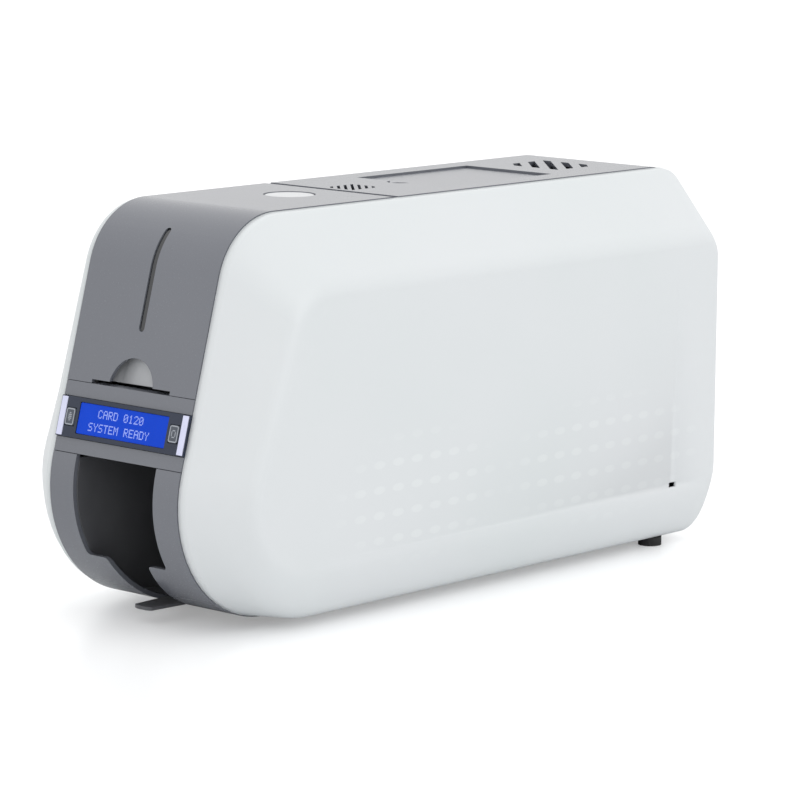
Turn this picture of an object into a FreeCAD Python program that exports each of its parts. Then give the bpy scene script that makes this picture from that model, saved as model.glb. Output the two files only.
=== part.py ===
import FreeCAD, Part
import Sketcher
import math
import os
import types

# Lengths in millimetres. The printer's front faces -Y and its right side +X.
lengths = {
    # grey centre band, seen from the side
    "bodyLength": 404.0,
    "bodyHeight": 215.0,
    "bodyWidth": 158.0,
    "bandWidth": 94.0,
    "footHeight": 5.0,
    "frontTopRadius": 41.0,
    "frontLowRadius": 64.0,
    "rearTopRadius": 10.0,
    "rearLowRadius": 12.0,
    "leastRadius": 2.0,
    "coverWall": 2.5,
    "flangeDepth": 16.0,
    "seamGap": 0.3,
    "overrun": 6.0,
    # white side covers
    "landWidth": 4.0,
    "landDrop": 1.2,
    "rimDrop": 0.5,
    "bottomFlatInset": 9.0,
    "panelTopDrop": 37.5,
    "panelBottomRise": 23.5,
    "panelRearInset": 5.0,
    "panelFrontInset": 34.0,
    "panelTopRadius": 28.0,
    "panelLowRadius": 42.0,
    "panelRearTopRadius": 14.0,
    "panelRearLowRadius": 20.0,
    "lockSlotRearInset": 41.8,
    "lockSlotZ": 37.7,
    "lockSlotLength": 6.5,
    "lockSlotHeight": 3.0,
    # seams between the covers
    "coverSeamInset": 164.0,
    "topSeamDrop": 16.0,
    "rearSeamRearInset": 8.0,
    "displayLowZ": 88.0,
    "displayHighZ": 124.0,
    "baseFrontInset": 84.0,
    "frontRegionInset": 52.0,
    # hinge of the front cover
    "coverRoll": 8.0,
    "coverRollGap": 0.8,
    "seamLip": 0.8,
    "coverPinRadius": 1.5,
    "pinClearance": 0.05,
    "coverPinInner": 38.0,
    "lugRadius": 4.8,
    "lugNeckHalf": 3.5,
    # finger notch, card slot, light slit and release button
    "notchRadius": 16.0,
    "notchDrop": 0.5,
    "cardSlotHalf": 28.5,
    "cardSlotHeight": 1.9,
    "slitHalf": 2.0,
    "slitLowDrop": 62.2,
    "slitHighDrop": 10.5,
    "slitRecess": 0.8,
    "slitClearance": 0.15,
    "releaseInset": 130.0,
    "releaseRadius": 9.0,
    "releaseGap": 0.3,
    "releaseSink": 0.3,
    "releaseHeight": 8.0,
    "releaseFlange": 2.0,
    # display module
    "displayDepth": 6.0,
    "pocketDepth": 2.4,
    "panelLow": 99.0,
    "panelHigh": 120.6,
    "panelHalf": 42.3,
    "panelRecess": 0.4,
    "panelCornerRadius": 0.8,
    "fitGap": 0.2,
    "lcdHalf": 32.5,
    "lcdLow": 101.6,
    "lcdHigh": 118.2,
    "lcdRecess": 0.8,
    "barRecess": 0.2,
    "buttonX": 38.0,
    "buttonHalf": 3.3,
    "buttonTall": 9.2,
    "buttonRadius": 1.2,
    "buttonDepth": 4.6,
    # output bezel and tray
    "mouthHalf": 29.3,
    "lipZ": 34.3,
    "lipRadius": 2.5,
    "thumbHalf": 15.3,
    "thumbLowHalf": 11.5,
    "thumbLowZ": 6.0,
    "tongueReach": 32.0,
    "tongueRootHalf": 8.5,
    "tongueTipHalf": 3.0,
    "tongueTipRadius": 2.5,
    "thumbRadius": 7.0,
    "trayWall": 2.0,
    "trayRearInset": 98.0,
    "trayTopZ": 86.0,
    "trayGap": 0.3,
    # hopper lid
    "lidHalf": 31.0,
    "lidFrontInset": 217.0,
    "lidRearInset": 308.0,
    "lidGap": 0.4,
    "lidBarrel": 3.0,
    "lidSink": 1.1,
    "lidPinRadius": 1.0,
    "collarWall": 2.0,
    "collarLowDrop": 11.0,
    "lidRibDepth": 1.2,
    "lidRibInset": 6.0,
    "dishRadius": 7.0,
    "dishDepth": 1.8,
    # vents of the top cover
    "frontVentHalf": 10.0,
    "frontVentStartInset": 168.0,
    "frontVentEndInset": 190.0,
    "frontVentPitch": 3.75,
    "frontVentSlot": 1.6,
    "rearVentHalf": 20.0,
    "rearVentStartRearInset": 76.0,
    "rearVentEndRearInset": 42.0,
    "rearVentPitch": 9.4,
    "rearVentSlot": 4.2,
    # chassis plates, seen from the side
    "plateInner": 40.0,
    "plateThick": 1.5,
    "plateLift": 0.3,
    "plateFrontInset": 24.0,
    "plateToeInset": 64.0,
    "plateFrontZ": 72.0,
    "plateBrowInset": 32.0,
    "plateBrowZ": 142.0,
    "plateSaddleInset": 136.0,
    "plateSaddleZ": 160.0,
    "plateNeckFrontInset": 152.0,
    "plateShoulderDrop": 19.0,
    "plateShoulderRearInset": 52.0,
    "plateRearRearInset": 14.0,
    "plateRearZ": 150.0,
    "plateCornerRadius": 6.0,
    "crossBarRadius": 3.0,
    # card path and rollers
    "rollerTopZ": 124.6,
    "rollerRadius": 8.0,
    "rollerHalf": 26.0,
    "pickHalf": 18.0,
    "shaftRadius": 3.0,
    "shaftClearance": 0.05,
    "shaftLeft": 44.0,
    "exitRollerInset": 42.0,
    "gearModule": 1.0,
    "gearStart": 43.0,
    "gearWidth": 5.0,
    "toothTip": 0.34,
    "toothRoot": 1.05,
    "toothAddendum": 0.9,
    "toothDedendum": 1.25,
    "toothSink": 0.6,
    "collarThick": 1.2,
    "pinchRadius": 5.0,
    "pinchShaftRadius": 2.0,
    "pinchGap": 0.4,
    "pinchEnd": 42.5,
    # drive motor
    "motorRadius": 17.5,
    "motorLength": 35.0,
    "motorShaftRadius": 2.0,
    "motorPilotRadius": 6.0,
    # print head
    "headHalf": 29.0,
    "headDepth": 12.0,
    "headGap": 1.0,
    "headHeight": 24.4,
    "bracketHalf": 28.0,
    "bracketWall": 2.0,
    "finSlot": 1.6,
    "finPitch": 4.0,
    "finDepth": 3.5,
    # ribbon cassette
    "supplyInset": 136.0,
    "supplyZ": 166.0,
    "takeUpInset": 44.0,
    "takeUpZ": 160.0,
    "spoolShaftRadius": 2.5,
    "spoolFlangeRadius": 13.5,
    "spoolFlangeThick": 1.2,
    "spoolHalf": 31.0,
    "supplyWindRadius": 12.0,
    "takeUpWindRadius": 7.5,
    "cassetteInner": 33.0,
    "cassetteThick": 2.0,
    "cassetteFrontInset": 35.0,
    "cassetteRearInset": 150.0,
    "cassetteLowZ": 151.0,
    "cassetteHighZ": 178.0,
    "cassetteRadius": 8.0,
    "cassetteBarRadius": 2.0,
    "cassetteBarInset": 4.0,
    "filmThick": 0.2,
    "filmHalf": 28.0,
    "filmLift": 0.4,
    # input hopper
    "binHalf": 31.0,
    "binWall": 2.0,
    "binFrontInset": 217.4,
    "binRearInset": 307.6,
    "binTopDrop": 7.6,
    "binFloorZ": 124.2,
    "binMouthZ": 127.0,
    "binFloorStartInset": 229.5,
    "weightHalf": 27.0,
    "weightFrontInset": 222.0,
    "weightRearInset": 302.0,
    "weightThick": 4.0,
    "weightLift": 0.3,
    "earHalf": 2.0,
    "earReach": 30.6,
    "slotTopDrop": 12.0,
    # fan
    "fanRearInset": 59.0,
    "fanSide": 40.0,
    "fanHeight": 10.0,
    "fanLowDrop": 17.0,
    "fanBore": 18.5,
    "fanBlade": 17.6,
    "fanHub": 8.5,
    "fanBackThick": 1.8,
    "fanBladeThick": 1.4,
    "fanSpoke": 3.0,
    "fanPostRadius": 2.5,
    "fanPostInset": 4.0,
    # circuit board and sockets
    "boardHalf": 37.0,
    "boardFrontRearInset": 132.0,
    "boardRearRearInset": 10.0,
    "boardZ": 14.0,
    "boardThick": 1.6,
    "standoffRadius": 3.0,
    "standoffInset": 7.0,
    "socketFrontRearInset": 24.0,
    "socketSink": 0.4,
    "usbX": -24.0,
    "usbWidth": 12.0,
    "usbHeight": 11.0,
    "ethernetX": -2.0,
    "ethernetWidth": 16.0,
    "ethernetHeight": 13.5,
    "inletX": 22.0,
    "inletWidth": 11.0,
    "inletHeight": 11.0,
    "inletHoleRadius": 3.2,
    "inletPinRadius": 1.1,
    "socketLip": 1.3,
    "socketDepth": 9.0,
    "chipSide": 14.0,
    "chipHeight": 1.8,
    "chipPitch": 22.4,
    "capRadius": 5.0,
    "capHeight": 12.0,
    # power rocker
    "rockerX": 24.0,
    "rockerZ": 62.0,
    "rockerHalf": 5.0,
    "rockerTall": 18.0,
    "rockerDepth": 7.0,
    "rockerPinInset": 3.6,
    "rockerDip": 1.6,
    "switchHalf": 7.0,
    "switchTall": 23.0,
    "switchDepth": 14.0,
    "switchGap": 0.5,
    # feet
    "padRadius": 6.7,
    "padFrontX": 38.0,
    "padRearX": 60.0,
    "padFrontInset": 94.0,
    "padRearInset": 37.5,
    # card guide behind the finger notch
    "guideHalf": 33.0,
    "guideLeg": 3.5,
    "guideDepth": 3.4,
    "guideThick": 2.0,
    "guideTop": 150.0,
    "guideRadius": 4.0,
    # screws in the base
    "screwRadius": 3.0,
    "screwHeight": 1.8,
    "screwX": 34.0,
    "screwFrontY": -60.0,
    "screwRearY": 60.0,
}
angles = {
    "frontAngle": 15.35,
    "panelAngle": 20.8,
    "rollEndAngle": 62.0,
    "ventAngle": 135.0,
    "toothShiftAngle": 5.0,
    "bladePitchAngle": 32.0,
}
counts = {
    "frontVentCount": 7,
    "rearVentCount": 5,
    "rollerTeeth": 24,
    "idlerTeeth": 36,
    "pinionTeeth": 12,
    "bladeCount": 7,
}

Vector = FreeCAD.Vector
Rotation = FreeCAD.Rotation
Rule = Sketcher.Constraint

doc = FreeCAD.newDocument("card_printer")
sheet = doc.addObject("Spreadsheet::Sheet", "Sizes")
nodes = {}


class Size:
    # a value together with the expression that works it out from the sheet

    def __init__(self, value, text):
        self.value = value
        self.text = text

    def __add__(self, other):
        other = asSize(other)
        return Size(self.value + other.value, "(%s + %s)" % (self.text, other.text))

    def __sub__(self, other):
        other = asSize(other)
        return Size(self.value - other.value, "(%s - %s)" % (self.text, other.text))

    def __mul__(self, other):
        other = asSize(other)
        return Size(self.value*other.value, "(%s * %s)" % (self.text, other.text))

    def __truediv__(self, other):
        other = asSize(other)
        return Size(self.value/other.value, "(%s / %s)" % (self.text, other.text))

    def __neg__(self):
        return Size(-self.value, "(0 - %s)" % self.text)


def asSize(number):
    if isinstance(number, Size):
        return number
    return Size(float(number), repr(number))


def cosine(angle):
    return Size(math.cos(math.radians(angle.value)), "cos(%s)" % angle.text)


def sine(angle):
    return Size(math.sin(math.radians(angle.value)), "sin(%s)" % angle.text)


def root(size):
    return Size(math.sqrt(size.value), "sqrt(%s)" % size.text)


def larger(one, two):
    return Size(max(one.value, two.value), "max(%s; %s)" % (one.text, two.text))


def cell(alias, content):
    cell.row += 1
    sheet.set("A%d" % cell.row, alias)
    sheet.set("B%d" % cell.row, content)
    sheet.setAlias("B%d" % cell.row, alias)


cell.row = 0


def derived(alias, size):
    cell(alias, "=" + size.text.replace("Sizes.", ""))
    return Size(size.value, "Sizes." + alias)


for table in (lengths, angles, counts):
    for alias, value in table.items():
        cell(alias, str(value))
s = types.SimpleNamespace()
for table in (lengths, angles, counts):
    for alias, value in table.items():
        setattr(s, alias, Size(value, "Sizes." + alias))

# values worked out from the driving sizes
bandHalf = derived("bandHalf", s.bandWidth/2)
bandSide = derived("bandSide", bandHalf - s.seamGap)
rearY = derived("bodyRearY", s.bodyLength/2)
keepsFromTop = (
    "topSeam", "slitLow", "slitHigh", "collarLow", "binTop", "slotTop", "fanLow", "plateShoulder",
)
keepsFromFront = (
    "coverSeam", "release", "baseFront", "frontRegion", "lidFront", "lidRear", "frontVentStart",
    "frontVentEnd", "plateFront", "plateToe", "plateBrow", "plateSaddle", "plateNeckFront",
    "exitRoller", "supply", "takeUp", "cassetteFront", "cassetteRear", "trayRear", "binFront",
    "binRear", "binFloorStart", "weightFront", "weightRear",
)
keepsFromRear = (
    "rearSeam", "rearVentStart", "rearVentEnd", "plateShoulder", "plateRear", "fan", "boardFront",
    "boardRear", "socketFront", "lockSlot",
)
for stem in keepsFromTop:
    setattr(s, stem + "Z", derived(stem + "Z", s.bodyHeight - getattr(s, stem + "Drop")))
for stem in keepsFromFront:
    setattr(s, stem + "Y", derived(stem + "Y", getattr(s, stem + "Inset") - rearY))
for stem in keepsFromRear:
    setattr(s, stem + "Y", derived(stem + "Y", rearY - getattr(s, stem + "RearInset")))
s.bottomFlatHalf = derived("bottomFlatHalf", s.bodyWidth/2 - s.bottomFlatInset)
s.buttonMiddle = derived("buttonMiddle", (s.panelLow + s.panelHigh)/2)
lowCentreY = derived("lowCentreY", s.frontLowRadius - rearY)
lowCentreZ = derived("lowCentreZ", s.footHeight + s.frontLowRadius)
leanCos = derived("leanCos", cosine(s.frontAngle))
leanSin = derived("leanSin", sine(s.frontAngle))
frontFootY = derived("frontFootY", lowCentreY - (lowCentreZ*leanSin + s.frontLowRadius)/leanCos)
skinZ = derived("skinZ", s.bodyHeight - s.coverWall)
floorZ = derived("floorZ", s.footHeight + s.coverWall)
lap = root((s.coverRoll + s.coverRollGap)*(s.coverRoll + s.coverRollGap)
           - (s.coverRoll - s.seamLip)*(s.coverRoll - s.seamLip))
pivotY = derived("coverPivotY", s.coverSeamY - lap)
pivotZ = derived("coverPivotZ", s.bodyHeight - s.coverRoll)
lidPivotY = derived("lidPivotY", s.lidRearY - s.lidBarrel)
lidPivotZ = derived("lidPivotZ", s.bodyHeight - s.lidSink - s.lidBarrel)
rollerZ = derived("rollerZ", s.rollerTopZ - s.rollerRadius)
rollerPitchRadius = derived("rollerPitchRadius", s.gearModule*s.rollerTeeth/2)
idlerPitchRadius = derived("idlerPitchRadius", s.gearModule*s.idlerTeeth/2)
pinionPitchRadius = derived("pinionPitchRadius", s.gearModule*s.pinionTeeth/2)
gearStep = derived("gearStep", rollerPitchRadius + idlerPitchRadius)
platenY = derived("platenY", s.exitRollerY + gearStep*2)
feedY = derived("feedY", platenY + gearStep*2)
entryY = derived("entryY", feedY + gearStep*2)
pickY = derived("pickY", entryY + gearStep*2)
motorY = derived("motorY", feedY + gearStep)
motorZ = derived("motorZ", rollerZ - idlerPitchRadius - pinionPitchRadius)
gearEnd = derived("gearEnd", s.gearStart + s.gearWidth)
plateOuter = derived("plateOuter", s.plateInner + s.plateThick)
pinchZ = derived("pinchZ", s.rollerTopZ + s.pinchGap + s.pinchRadius)
headLowZ = derived("headLowZ", s.rollerTopZ + s.headGap)
headHighZ = derived("headHighZ", headLowZ + s.headHeight)


def frontY(z, inset):
    # where the sloping front, moved inwards by inset, lies at height z
    return frontFootY + z*leanSin/leanCos + inset/leanCos


def bind(thing, prop, size):
    thing.setExpression(prop, asSize(size).text)


def place(thing, x, y, z, rotation=None):
    x, y, z = asSize(x), asSize(y), asSize(z)
    thing.Placement = FreeCAD.Placement(Vector(x.value, y.value, z.value), rotation or Rotation())
    bind(thing, "Placement.Base.x", x)
    bind(thing, "Placement.Base.y", y)
    bind(thing, "Placement.Base.z", z)


def box(name, x0, x1, y0, y1, z0, z1):
    solid = doc.addObject("Part::Box", name)
    bind(solid, "Length", asSize(x1) - x0)
    bind(solid, "Width", asSize(y1) - y0)
    bind(solid, "Height", asSize(z1) - z0)
    place(solid, x0, y0, z0)
    return solid


alongX = Rotation(Vector(0, 1, 0), 90)
alongY = Rotation(Vector(1, 0, 0), -90)
alongZ = Rotation()


def rod(name, direction, across, up, start, end, radius, rotation=None):
    # across and up are the centre: (y, z) along X, (x, z) along Y, (x, y) along Z
    solid = doc.addObject("Part::Cylinder", name)
    bind(solid, "Radius", radius)
    bind(solid, "Height", asSize(end) - start)
    if direction == "X":
        place(solid, start, across, up, rotation or alongX)
    elif direction == "Y":
        place(solid, across, start, up, rotation or alongY)
    else:
        place(solid, across, up, start, rotation or alongZ)
    return solid


def fuse(name, *solids):
    joined = doc.addObject("Part::MultiFuse", name)
    joined.Shapes = list(solids)
    return joined


def cut(name, base, *tools):
    piece = doc.addObject("Part::Cut", name)
    piece.Base = base
    piece.Tool = tools[0] if len(tools) == 1 else fuse(name + "_tools", *tools)
    return piece


def common(name, *solids):
    piece = doc.addObject("Part::MultiCommon", name)
    piece.Shapes = list(solids)
    return piece


def mirrored(name, source):
    piece = doc.addObject("Part::Mirroring", name)
    piece.Source = source
    piece.Normal = Vector(1, 0, 0)
    return piece


def drawOutline(sketch, corners):
    # a closed polygon of (across, up, radius) corners, rounded where radius isn't zero
    count = len(corners)
    bends = []
    for i, (u, v, r) in enumerate(corners):
        here = Vector(u.value, v.value, 0)
        back = Vector(corners[i - 1][0].value, corners[i - 1][1].value, 0) - here
        ahead = Vector(corners[(i + 1) % count][0].value, corners[(i + 1) % count][1].value, 0) - here
        back.normalize()
        ahead.normalize()
        half = math.acos(max(-1, min(1, back.dot(ahead))))/2
        reach = r.value/math.tan(half)
        bends.append((here, here + back*reach, here + ahead*reach, back + ahead, half))
    lines = []
    for i in range(count):
        side = Part.LineSegment(bends[i][2], bends[(i + 1) % count][1])
        lines.append(sketch.addGeometry(side, False))
    for i, (u, v, r) in enumerate(corners):
        here, start, end, bisector, half = bends[i]
        before, after = lines[i - 1], lines[i]
        if r.value == 0:
            sketch.addConstraint(Rule("Coincident", before, 2, after, 1))
            target = (after, 1)
        else:
            bisector.normalize()
            centre = here + bisector*(r.value/math.sin(half))
            circle = Part.Circle(centre, Vector(0, 0, 1), r.value)
            toStart = math.atan2(start.y - centre.y, start.x - centre.x)
            toEnd = math.atan2(end.y - centre.y, end.x - centre.x)
            leftTurn = (toEnd - toStart) % (2*math.pi) < math.pi
            bend = Part.ArcOfCircle(circle, toStart, toEnd) if leftTurn else Part.ArcOfCircle(circle, toEnd, toStart)
            arc = sketch.addGeometry(bend, False)
            first = 1 if leftTurn else 2
            sketch.addConstraint(Rule("Tangent", before, 2, arc, first))
            sketch.addConstraint(Rule("Tangent", after, 1, arc, 3 - first))
            datum = sketch.addConstraint(Rule("Radius", arc, r.value))
            bind(sketch, "Constraints[%d]" % datum, r)
            point = sketch.addGeometry(Part.Point(here), True)
            sketch.addConstraint(Rule("PointOnObject", point, 1, before))
            sketch.addConstraint(Rule("PointOnObject", point, 1, after))
            target = (point, 1)
        for kind, size in (("DistanceX", u), ("DistanceY", v)):
            datum = sketch.addConstraint(Rule(kind, target[0], target[1], size.value))
            bind(sketch, "Constraints[%d]" % datum, size)


def outline(name, plane, offset, corners):
    sketch = doc.addObject("Sketcher::SketchObject", name)
    drawOutline(sketch, [tuple(asSize(part) for part in corner) for corner in corners])
    if plane == "side":
        place(sketch, offset, 0, 0, Rotation(Vector(1, 1, 1), 120))
    elif plane == "front":
        place(sketch, 0, offset, 0, Rotation(Vector(1, 0, 0), 90))
    elif plane == "slope":
        offset = asSize(offset)
        tilt = Rotation(Vector(1, 0, 0), 90 - s.frontAngle.value)
        place(sketch, 0, frontFootY + offset*leanCos, -(offset*leanSin), tilt)
        bind(sketch, "Placement.Rotation.Angle", Size(90 - s.frontAngle.value, "90 - " + s.frontAngle.text))
    else:
        place(sketch, 0, 0, offset)
    return sketch


def extrude(name, sketch, length, symmetric=False, reverse=False):
    solid = doc.addObject("Part::Extrusion", name)
    solid.Base = sketch
    solid.DirMode = "Normal"
    solid.Solid = True
    solid.Symmetric = symmetric
    solid.Reversed = reverse
    bind(solid, "LengthFwd", length)
    return solid


def rectangle(x0, x1, y0, y1, radius):
    return [(x0, y0, radius), (x1, y0, radius), (x1, y1, radius), (x0, y1, radius)]


def sloped(name, x0, x1, depth0, depth1, low, high, radius):
    # a plate in the plane of the sloping front, from depth0 to depth1 behind it
    sketch = outline(name + "_outline", "slope", depth0, rectangle(x0, x1, low, high, radius))
    return extrude(name, sketch, asSize(depth1) - depth0, reverse=True)


def node(name, solid):
    solid.Label = name
    nodes[name] = solid
    return solid


def rimCorners(inset):
    inset = asSize(inset)
    low = s.footHeight + inset
    top = s.bodyHeight - inset
    rear = rearY - inset
    return [
        (frontY(low, inset), low, larger(s.frontLowRadius - inset, s.leastRadius)),
        (frontY(top, inset), top, larger(s.frontTopRadius - inset, s.leastRadius)),
        (rear, top, larger(s.rearTopRadius - inset, s.leastRadius)),
        (rear, low, larger(s.rearLowRadius - inset, s.leastRadius)),
    ]


def band(name, inset, half):
    return extrude(name, outline(name + "_outline", "side", 0, rimCorners(inset)), asSize(half)*2, symmetric=True)


bandOuter = band("band_outer", 0, bandSide)
bandInner = band("band_inner", s.coverWall, bandSide - s.coverWall)
bandDeep = band("band_deep", s.flangeDepth, bandSide + s.overrun)
bandShell = cut("band_shell", bandOuter, bandInner, bandDeep)
wide = bandSide + s.overrun
aboveAll = s.bodyHeight + s.overrun
frontAll = -(rearY + s.overrun)
rearAll = rearY + s.overrun


# White side covers

def insetQuad(corners, inset):
    # moves the four sides of a side-view outline inwards
    (lowY, lowZ, lowR), (topY, topZ, topR), (backY, backTop, backTopR), (_, _, backLowR) = corners
    slope = (topY - lowY)/(topZ - lowZ)
    shift = inset*root(slope*slope + 1)
    return [
        (lowY + slope*inset + shift, lowZ + inset, larger(lowR - inset, s.leastRadius)),
        (topY - slope*inset + shift, topZ - inset, larger(topR - inset, s.leastRadius)),
        (backY - inset, topZ - inset, larger(backTopR - inset, s.leastRadius)),
        (backY - inset, lowZ + inset, larger(backLowR - inset, s.leastRadius)),
    ]


def panelCorners(low):
    top = s.bodyHeight - s.panelTopDrop
    topY = frontY(top, s.panelFrontInset*leanCos)
    lowY = topY - (top - low)*sine(s.panelAngle)/cosine(s.panelAngle)
    back = rearY - s.panelRearInset
    return [
        (lowY, low, s.panelLowRadius),
        (topY, top, s.panelTopRadius),
        (back, top, s.panelRearTopRadius),
        (back, low, s.panelRearLowRadius),
    ]


landX = bandHalf + s.landWidth
panelX = s.bodyWidth/2
midShare = (s.bottomFlatHalf - landX)/(panelX - landX)


def midCorners():
    land = rimCorners(s.landDrop)
    panel = panelCorners(s.footHeight)
    middle = []
    for (landY, landZ, landR), (panelY, panelZ, panelR) in zip(land, panel):
        middle.append((landY + (panelY - landY)*midShare, landZ + (panelZ - landZ)*midShare,
                       landR + (panelR - landR)*midShare))
    flat = s.footHeight
    middle[0] = (middle[0][0], flat, land[0][2])
    middle[3] = (middle[3][0], flat, middle[3][2])
    return middle


def sideLoft(name, sections):
    loft = doc.addObject("Part::Loft", name)
    loft.Sections = [outline("%s_section%d" % (name, i), "side", x, corners)
                     for i, (x, corners) in enumerate(sections)]
    loft.Solid = True
    loft.Ruled = True
    return loft


def makeSideCovers():
    panel = panelCorners(s.footHeight + s.panelBottomRise)
    outer = sideLoft("side_outer", [
        (bandHalf, rimCorners(s.rimDrop)),
        (landX, rimCorners(s.landDrop)),
        (s.bottomFlatHalf, midCorners()),
        (panelX, panel),
    ])
    inner = sideLoft("side_inner", [
        (bandHalf - s.overrun, rimCorners(s.coverWall)),
        (landX - s.landDrop, rimCorners(s.landDrop + s.coverWall)),
        (s.bottomFlatHalf - s.coverWall, insetQuad(midCorners(), s.coverWall)),
        (panelX - s.coverWall, insetQuad(panel, s.coverWall)),
    ])
    shell = cut("side_shell", outer, inner)
    slot = box("lock_slot", panelX - s.coverWall - s.overrun, panelX + s.overrun,
               s.lockSlotY - s.lockSlotLength/2, s.lockSlotY + s.lockSlotLength/2,
               s.lockSlotZ - s.lockSlotHeight/2, s.lockSlotZ + s.lockSlotHeight/2)
    node("right_side_cover", cut("right_side_cover", shell, slot))
    node("left_side_cover", mirrored("left_side_cover", shell))


# Front cover with its rolled rear edge, and what it carries

def coverSlit(name, clearance):
    return box(name, -s.slitHalf + clearance, s.slitHalf - clearance, frontAll, s.frontRegionY,
               s.slitLowZ + clearance, s.slitHighZ - clearance)


def makeFrontCover():
    region = box("front_cover_region", -wide, wide, frontAll, pivotY,
                 s.displayHighZ + s.seamGap/2, aboveAll)
    skin = common("front_cover_skin", bandShell, region)
    roll = rod("cover_roll", "X", pivotY, pivotZ, -bandSide, bandSide, s.coverRoll,
               Rotation(Vector(1, 1, 1), 120)*Rotation(Vector(0, 0, 1), 90 - s.rollEndAngle.value))
    roll.Angle = s.rollEndAngle.value
    bind(roll, "Angle", s.rollEndAngle)
    hollow = rod("cover_roll_hollow", "X", pivotY, pivotZ, -(bandSide - s.coverWall), bandSide - s.coverWall,
                 s.coverRoll - s.coverWall)
    rolled = cut("cover_rolled_edge", roll, hollow)
    cheeks = []
    for side, start in (("right", bandSide - s.coverWall), ("left", -bandSide)):
        cheeks.append(rod("cover_eye_" + side, "X", pivotY, pivotZ, start, start + s.coverWall, s.coverRoll))
    body = fuse("front_cover_body", skin, rolled, *cheeks)
    notch = rod("finger_notch", "Y", 0, s.displayHighZ - s.notchDrop, frontAll, s.frontRegionY, s.notchRadius)
    slot = box("card_slot", -s.cardSlotHalf, s.cardSlotHalf, frontAll, s.frontRegionY,
               s.displayHighZ - s.overrun, s.displayHighZ + s.seamGap/2 + s.cardSlotHeight)
    button = rod("release_hole", "Z", 0, s.releaseY, skinZ - s.overrun, aboveAll,
                 s.releaseRadius + s.releaseGap)
    bore = rod("cover_pin_bore", "X", pivotY, pivotZ, -wide, wide, s.coverPinRadius + s.pinClearance)
    node("front_cover", cut("front_cover", body, notch, slot, coverSlit("slit", asSize(0)), button, bore))

    lens = cut("slit_lens_band", band("lens_outer", s.slitRecess, s.overrun),
               band("lens_inner", s.coverWall, s.overrun*2))
    node("status_light_guide", common("status_light_guide", lens, coverSlit("slit_lens", s.slitClearance)))


def makeReleaseButton():
    top = s.bodyHeight - s.releaseSink
    cap = rod("release_cap", "Z", 0, s.releaseY, top - s.releaseHeight, top, s.releaseRadius)
    lip = rod("release_lip", "Z", 0, s.releaseY, top - s.releaseHeight, skinZ - s.releaseFlange,
              s.releaseRadius + s.releaseFlange)
    node("cover_release_button", fuse("cover_release_button", cap, lip))


def makePrintHead():
    front = platenY - s.headDepth/2
    rear = platenY + s.headDepth/2
    tube = box("bracket_tube", -s.bracketHalf, s.bracketHalf, front, rear, headHighZ, skinZ)
    hollow = box("bracket_hollow", -(s.bracketHalf + s.overrun), s.bracketHalf + s.overrun,
                 front + s.bracketWall, rear - s.bracketWall,
                 headHighZ + s.bracketWall, skinZ - s.bracketWall)
    node("print_head_bracket", cut("print_head_bracket", tube, hollow))
    block = box("head_block", -s.headHalf, s.headHalf, front, rear, headLowZ, headHighZ)
    fins = []
    for i in range(1, 5):
        low = headLowZ + s.finPitch*i
        for side, y in (("front", front - s.finDepth), ("rear", rear - s.finDepth)):
            fins.append(box("fin_%s_%d" % (side, i), -(s.headHalf + s.overrun), s.headHalf + s.overrun,
                            y, y + s.finDepth*2, low, low + s.finSlot))
    node("print_head", cut("print_head", block, *fins))


# Top cover, lid and vents

def ventSlots(name, half, startY, endY, pitch, slot, count):
    middle = (asSize(startY) + endY)/2
    reach = (asSize(endY) - startY)*2
    turn = Rotation(Vector(0, 0, 1), s.ventAngle.value)
    bars = []
    for i in range(count):
        step = asSize(pitch)*(i - (count - 1)/2)
        bar = doc.addObject("Part::Box", "%s_bar_%d" % (name, i))
        bind(bar, "Length", reach)
        bind(bar, "Width", slot)
        bind(bar, "Height", s.overrun*3)
        across = step + asSize(slot)/2
        place(bar, across*sine(s.ventAngle) - reach/2*cosine(s.ventAngle),
              middle - across*cosine(s.ventAngle) - reach/2*sine(s.ventAngle), skinZ - s.overrun, turn)
        bars.append(bar)
    window = box(name + "_window", -half, half, startY, endY, skinZ - s.overrun, aboveAll)
    return common(name, fuse(name + "_bars", *bars), window)


def fingerDish(name):
    return rod(name, "Z", 0, s.lidFrontY, s.bodyHeight - s.dishDepth, aboveAll, s.dishRadius)


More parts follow.
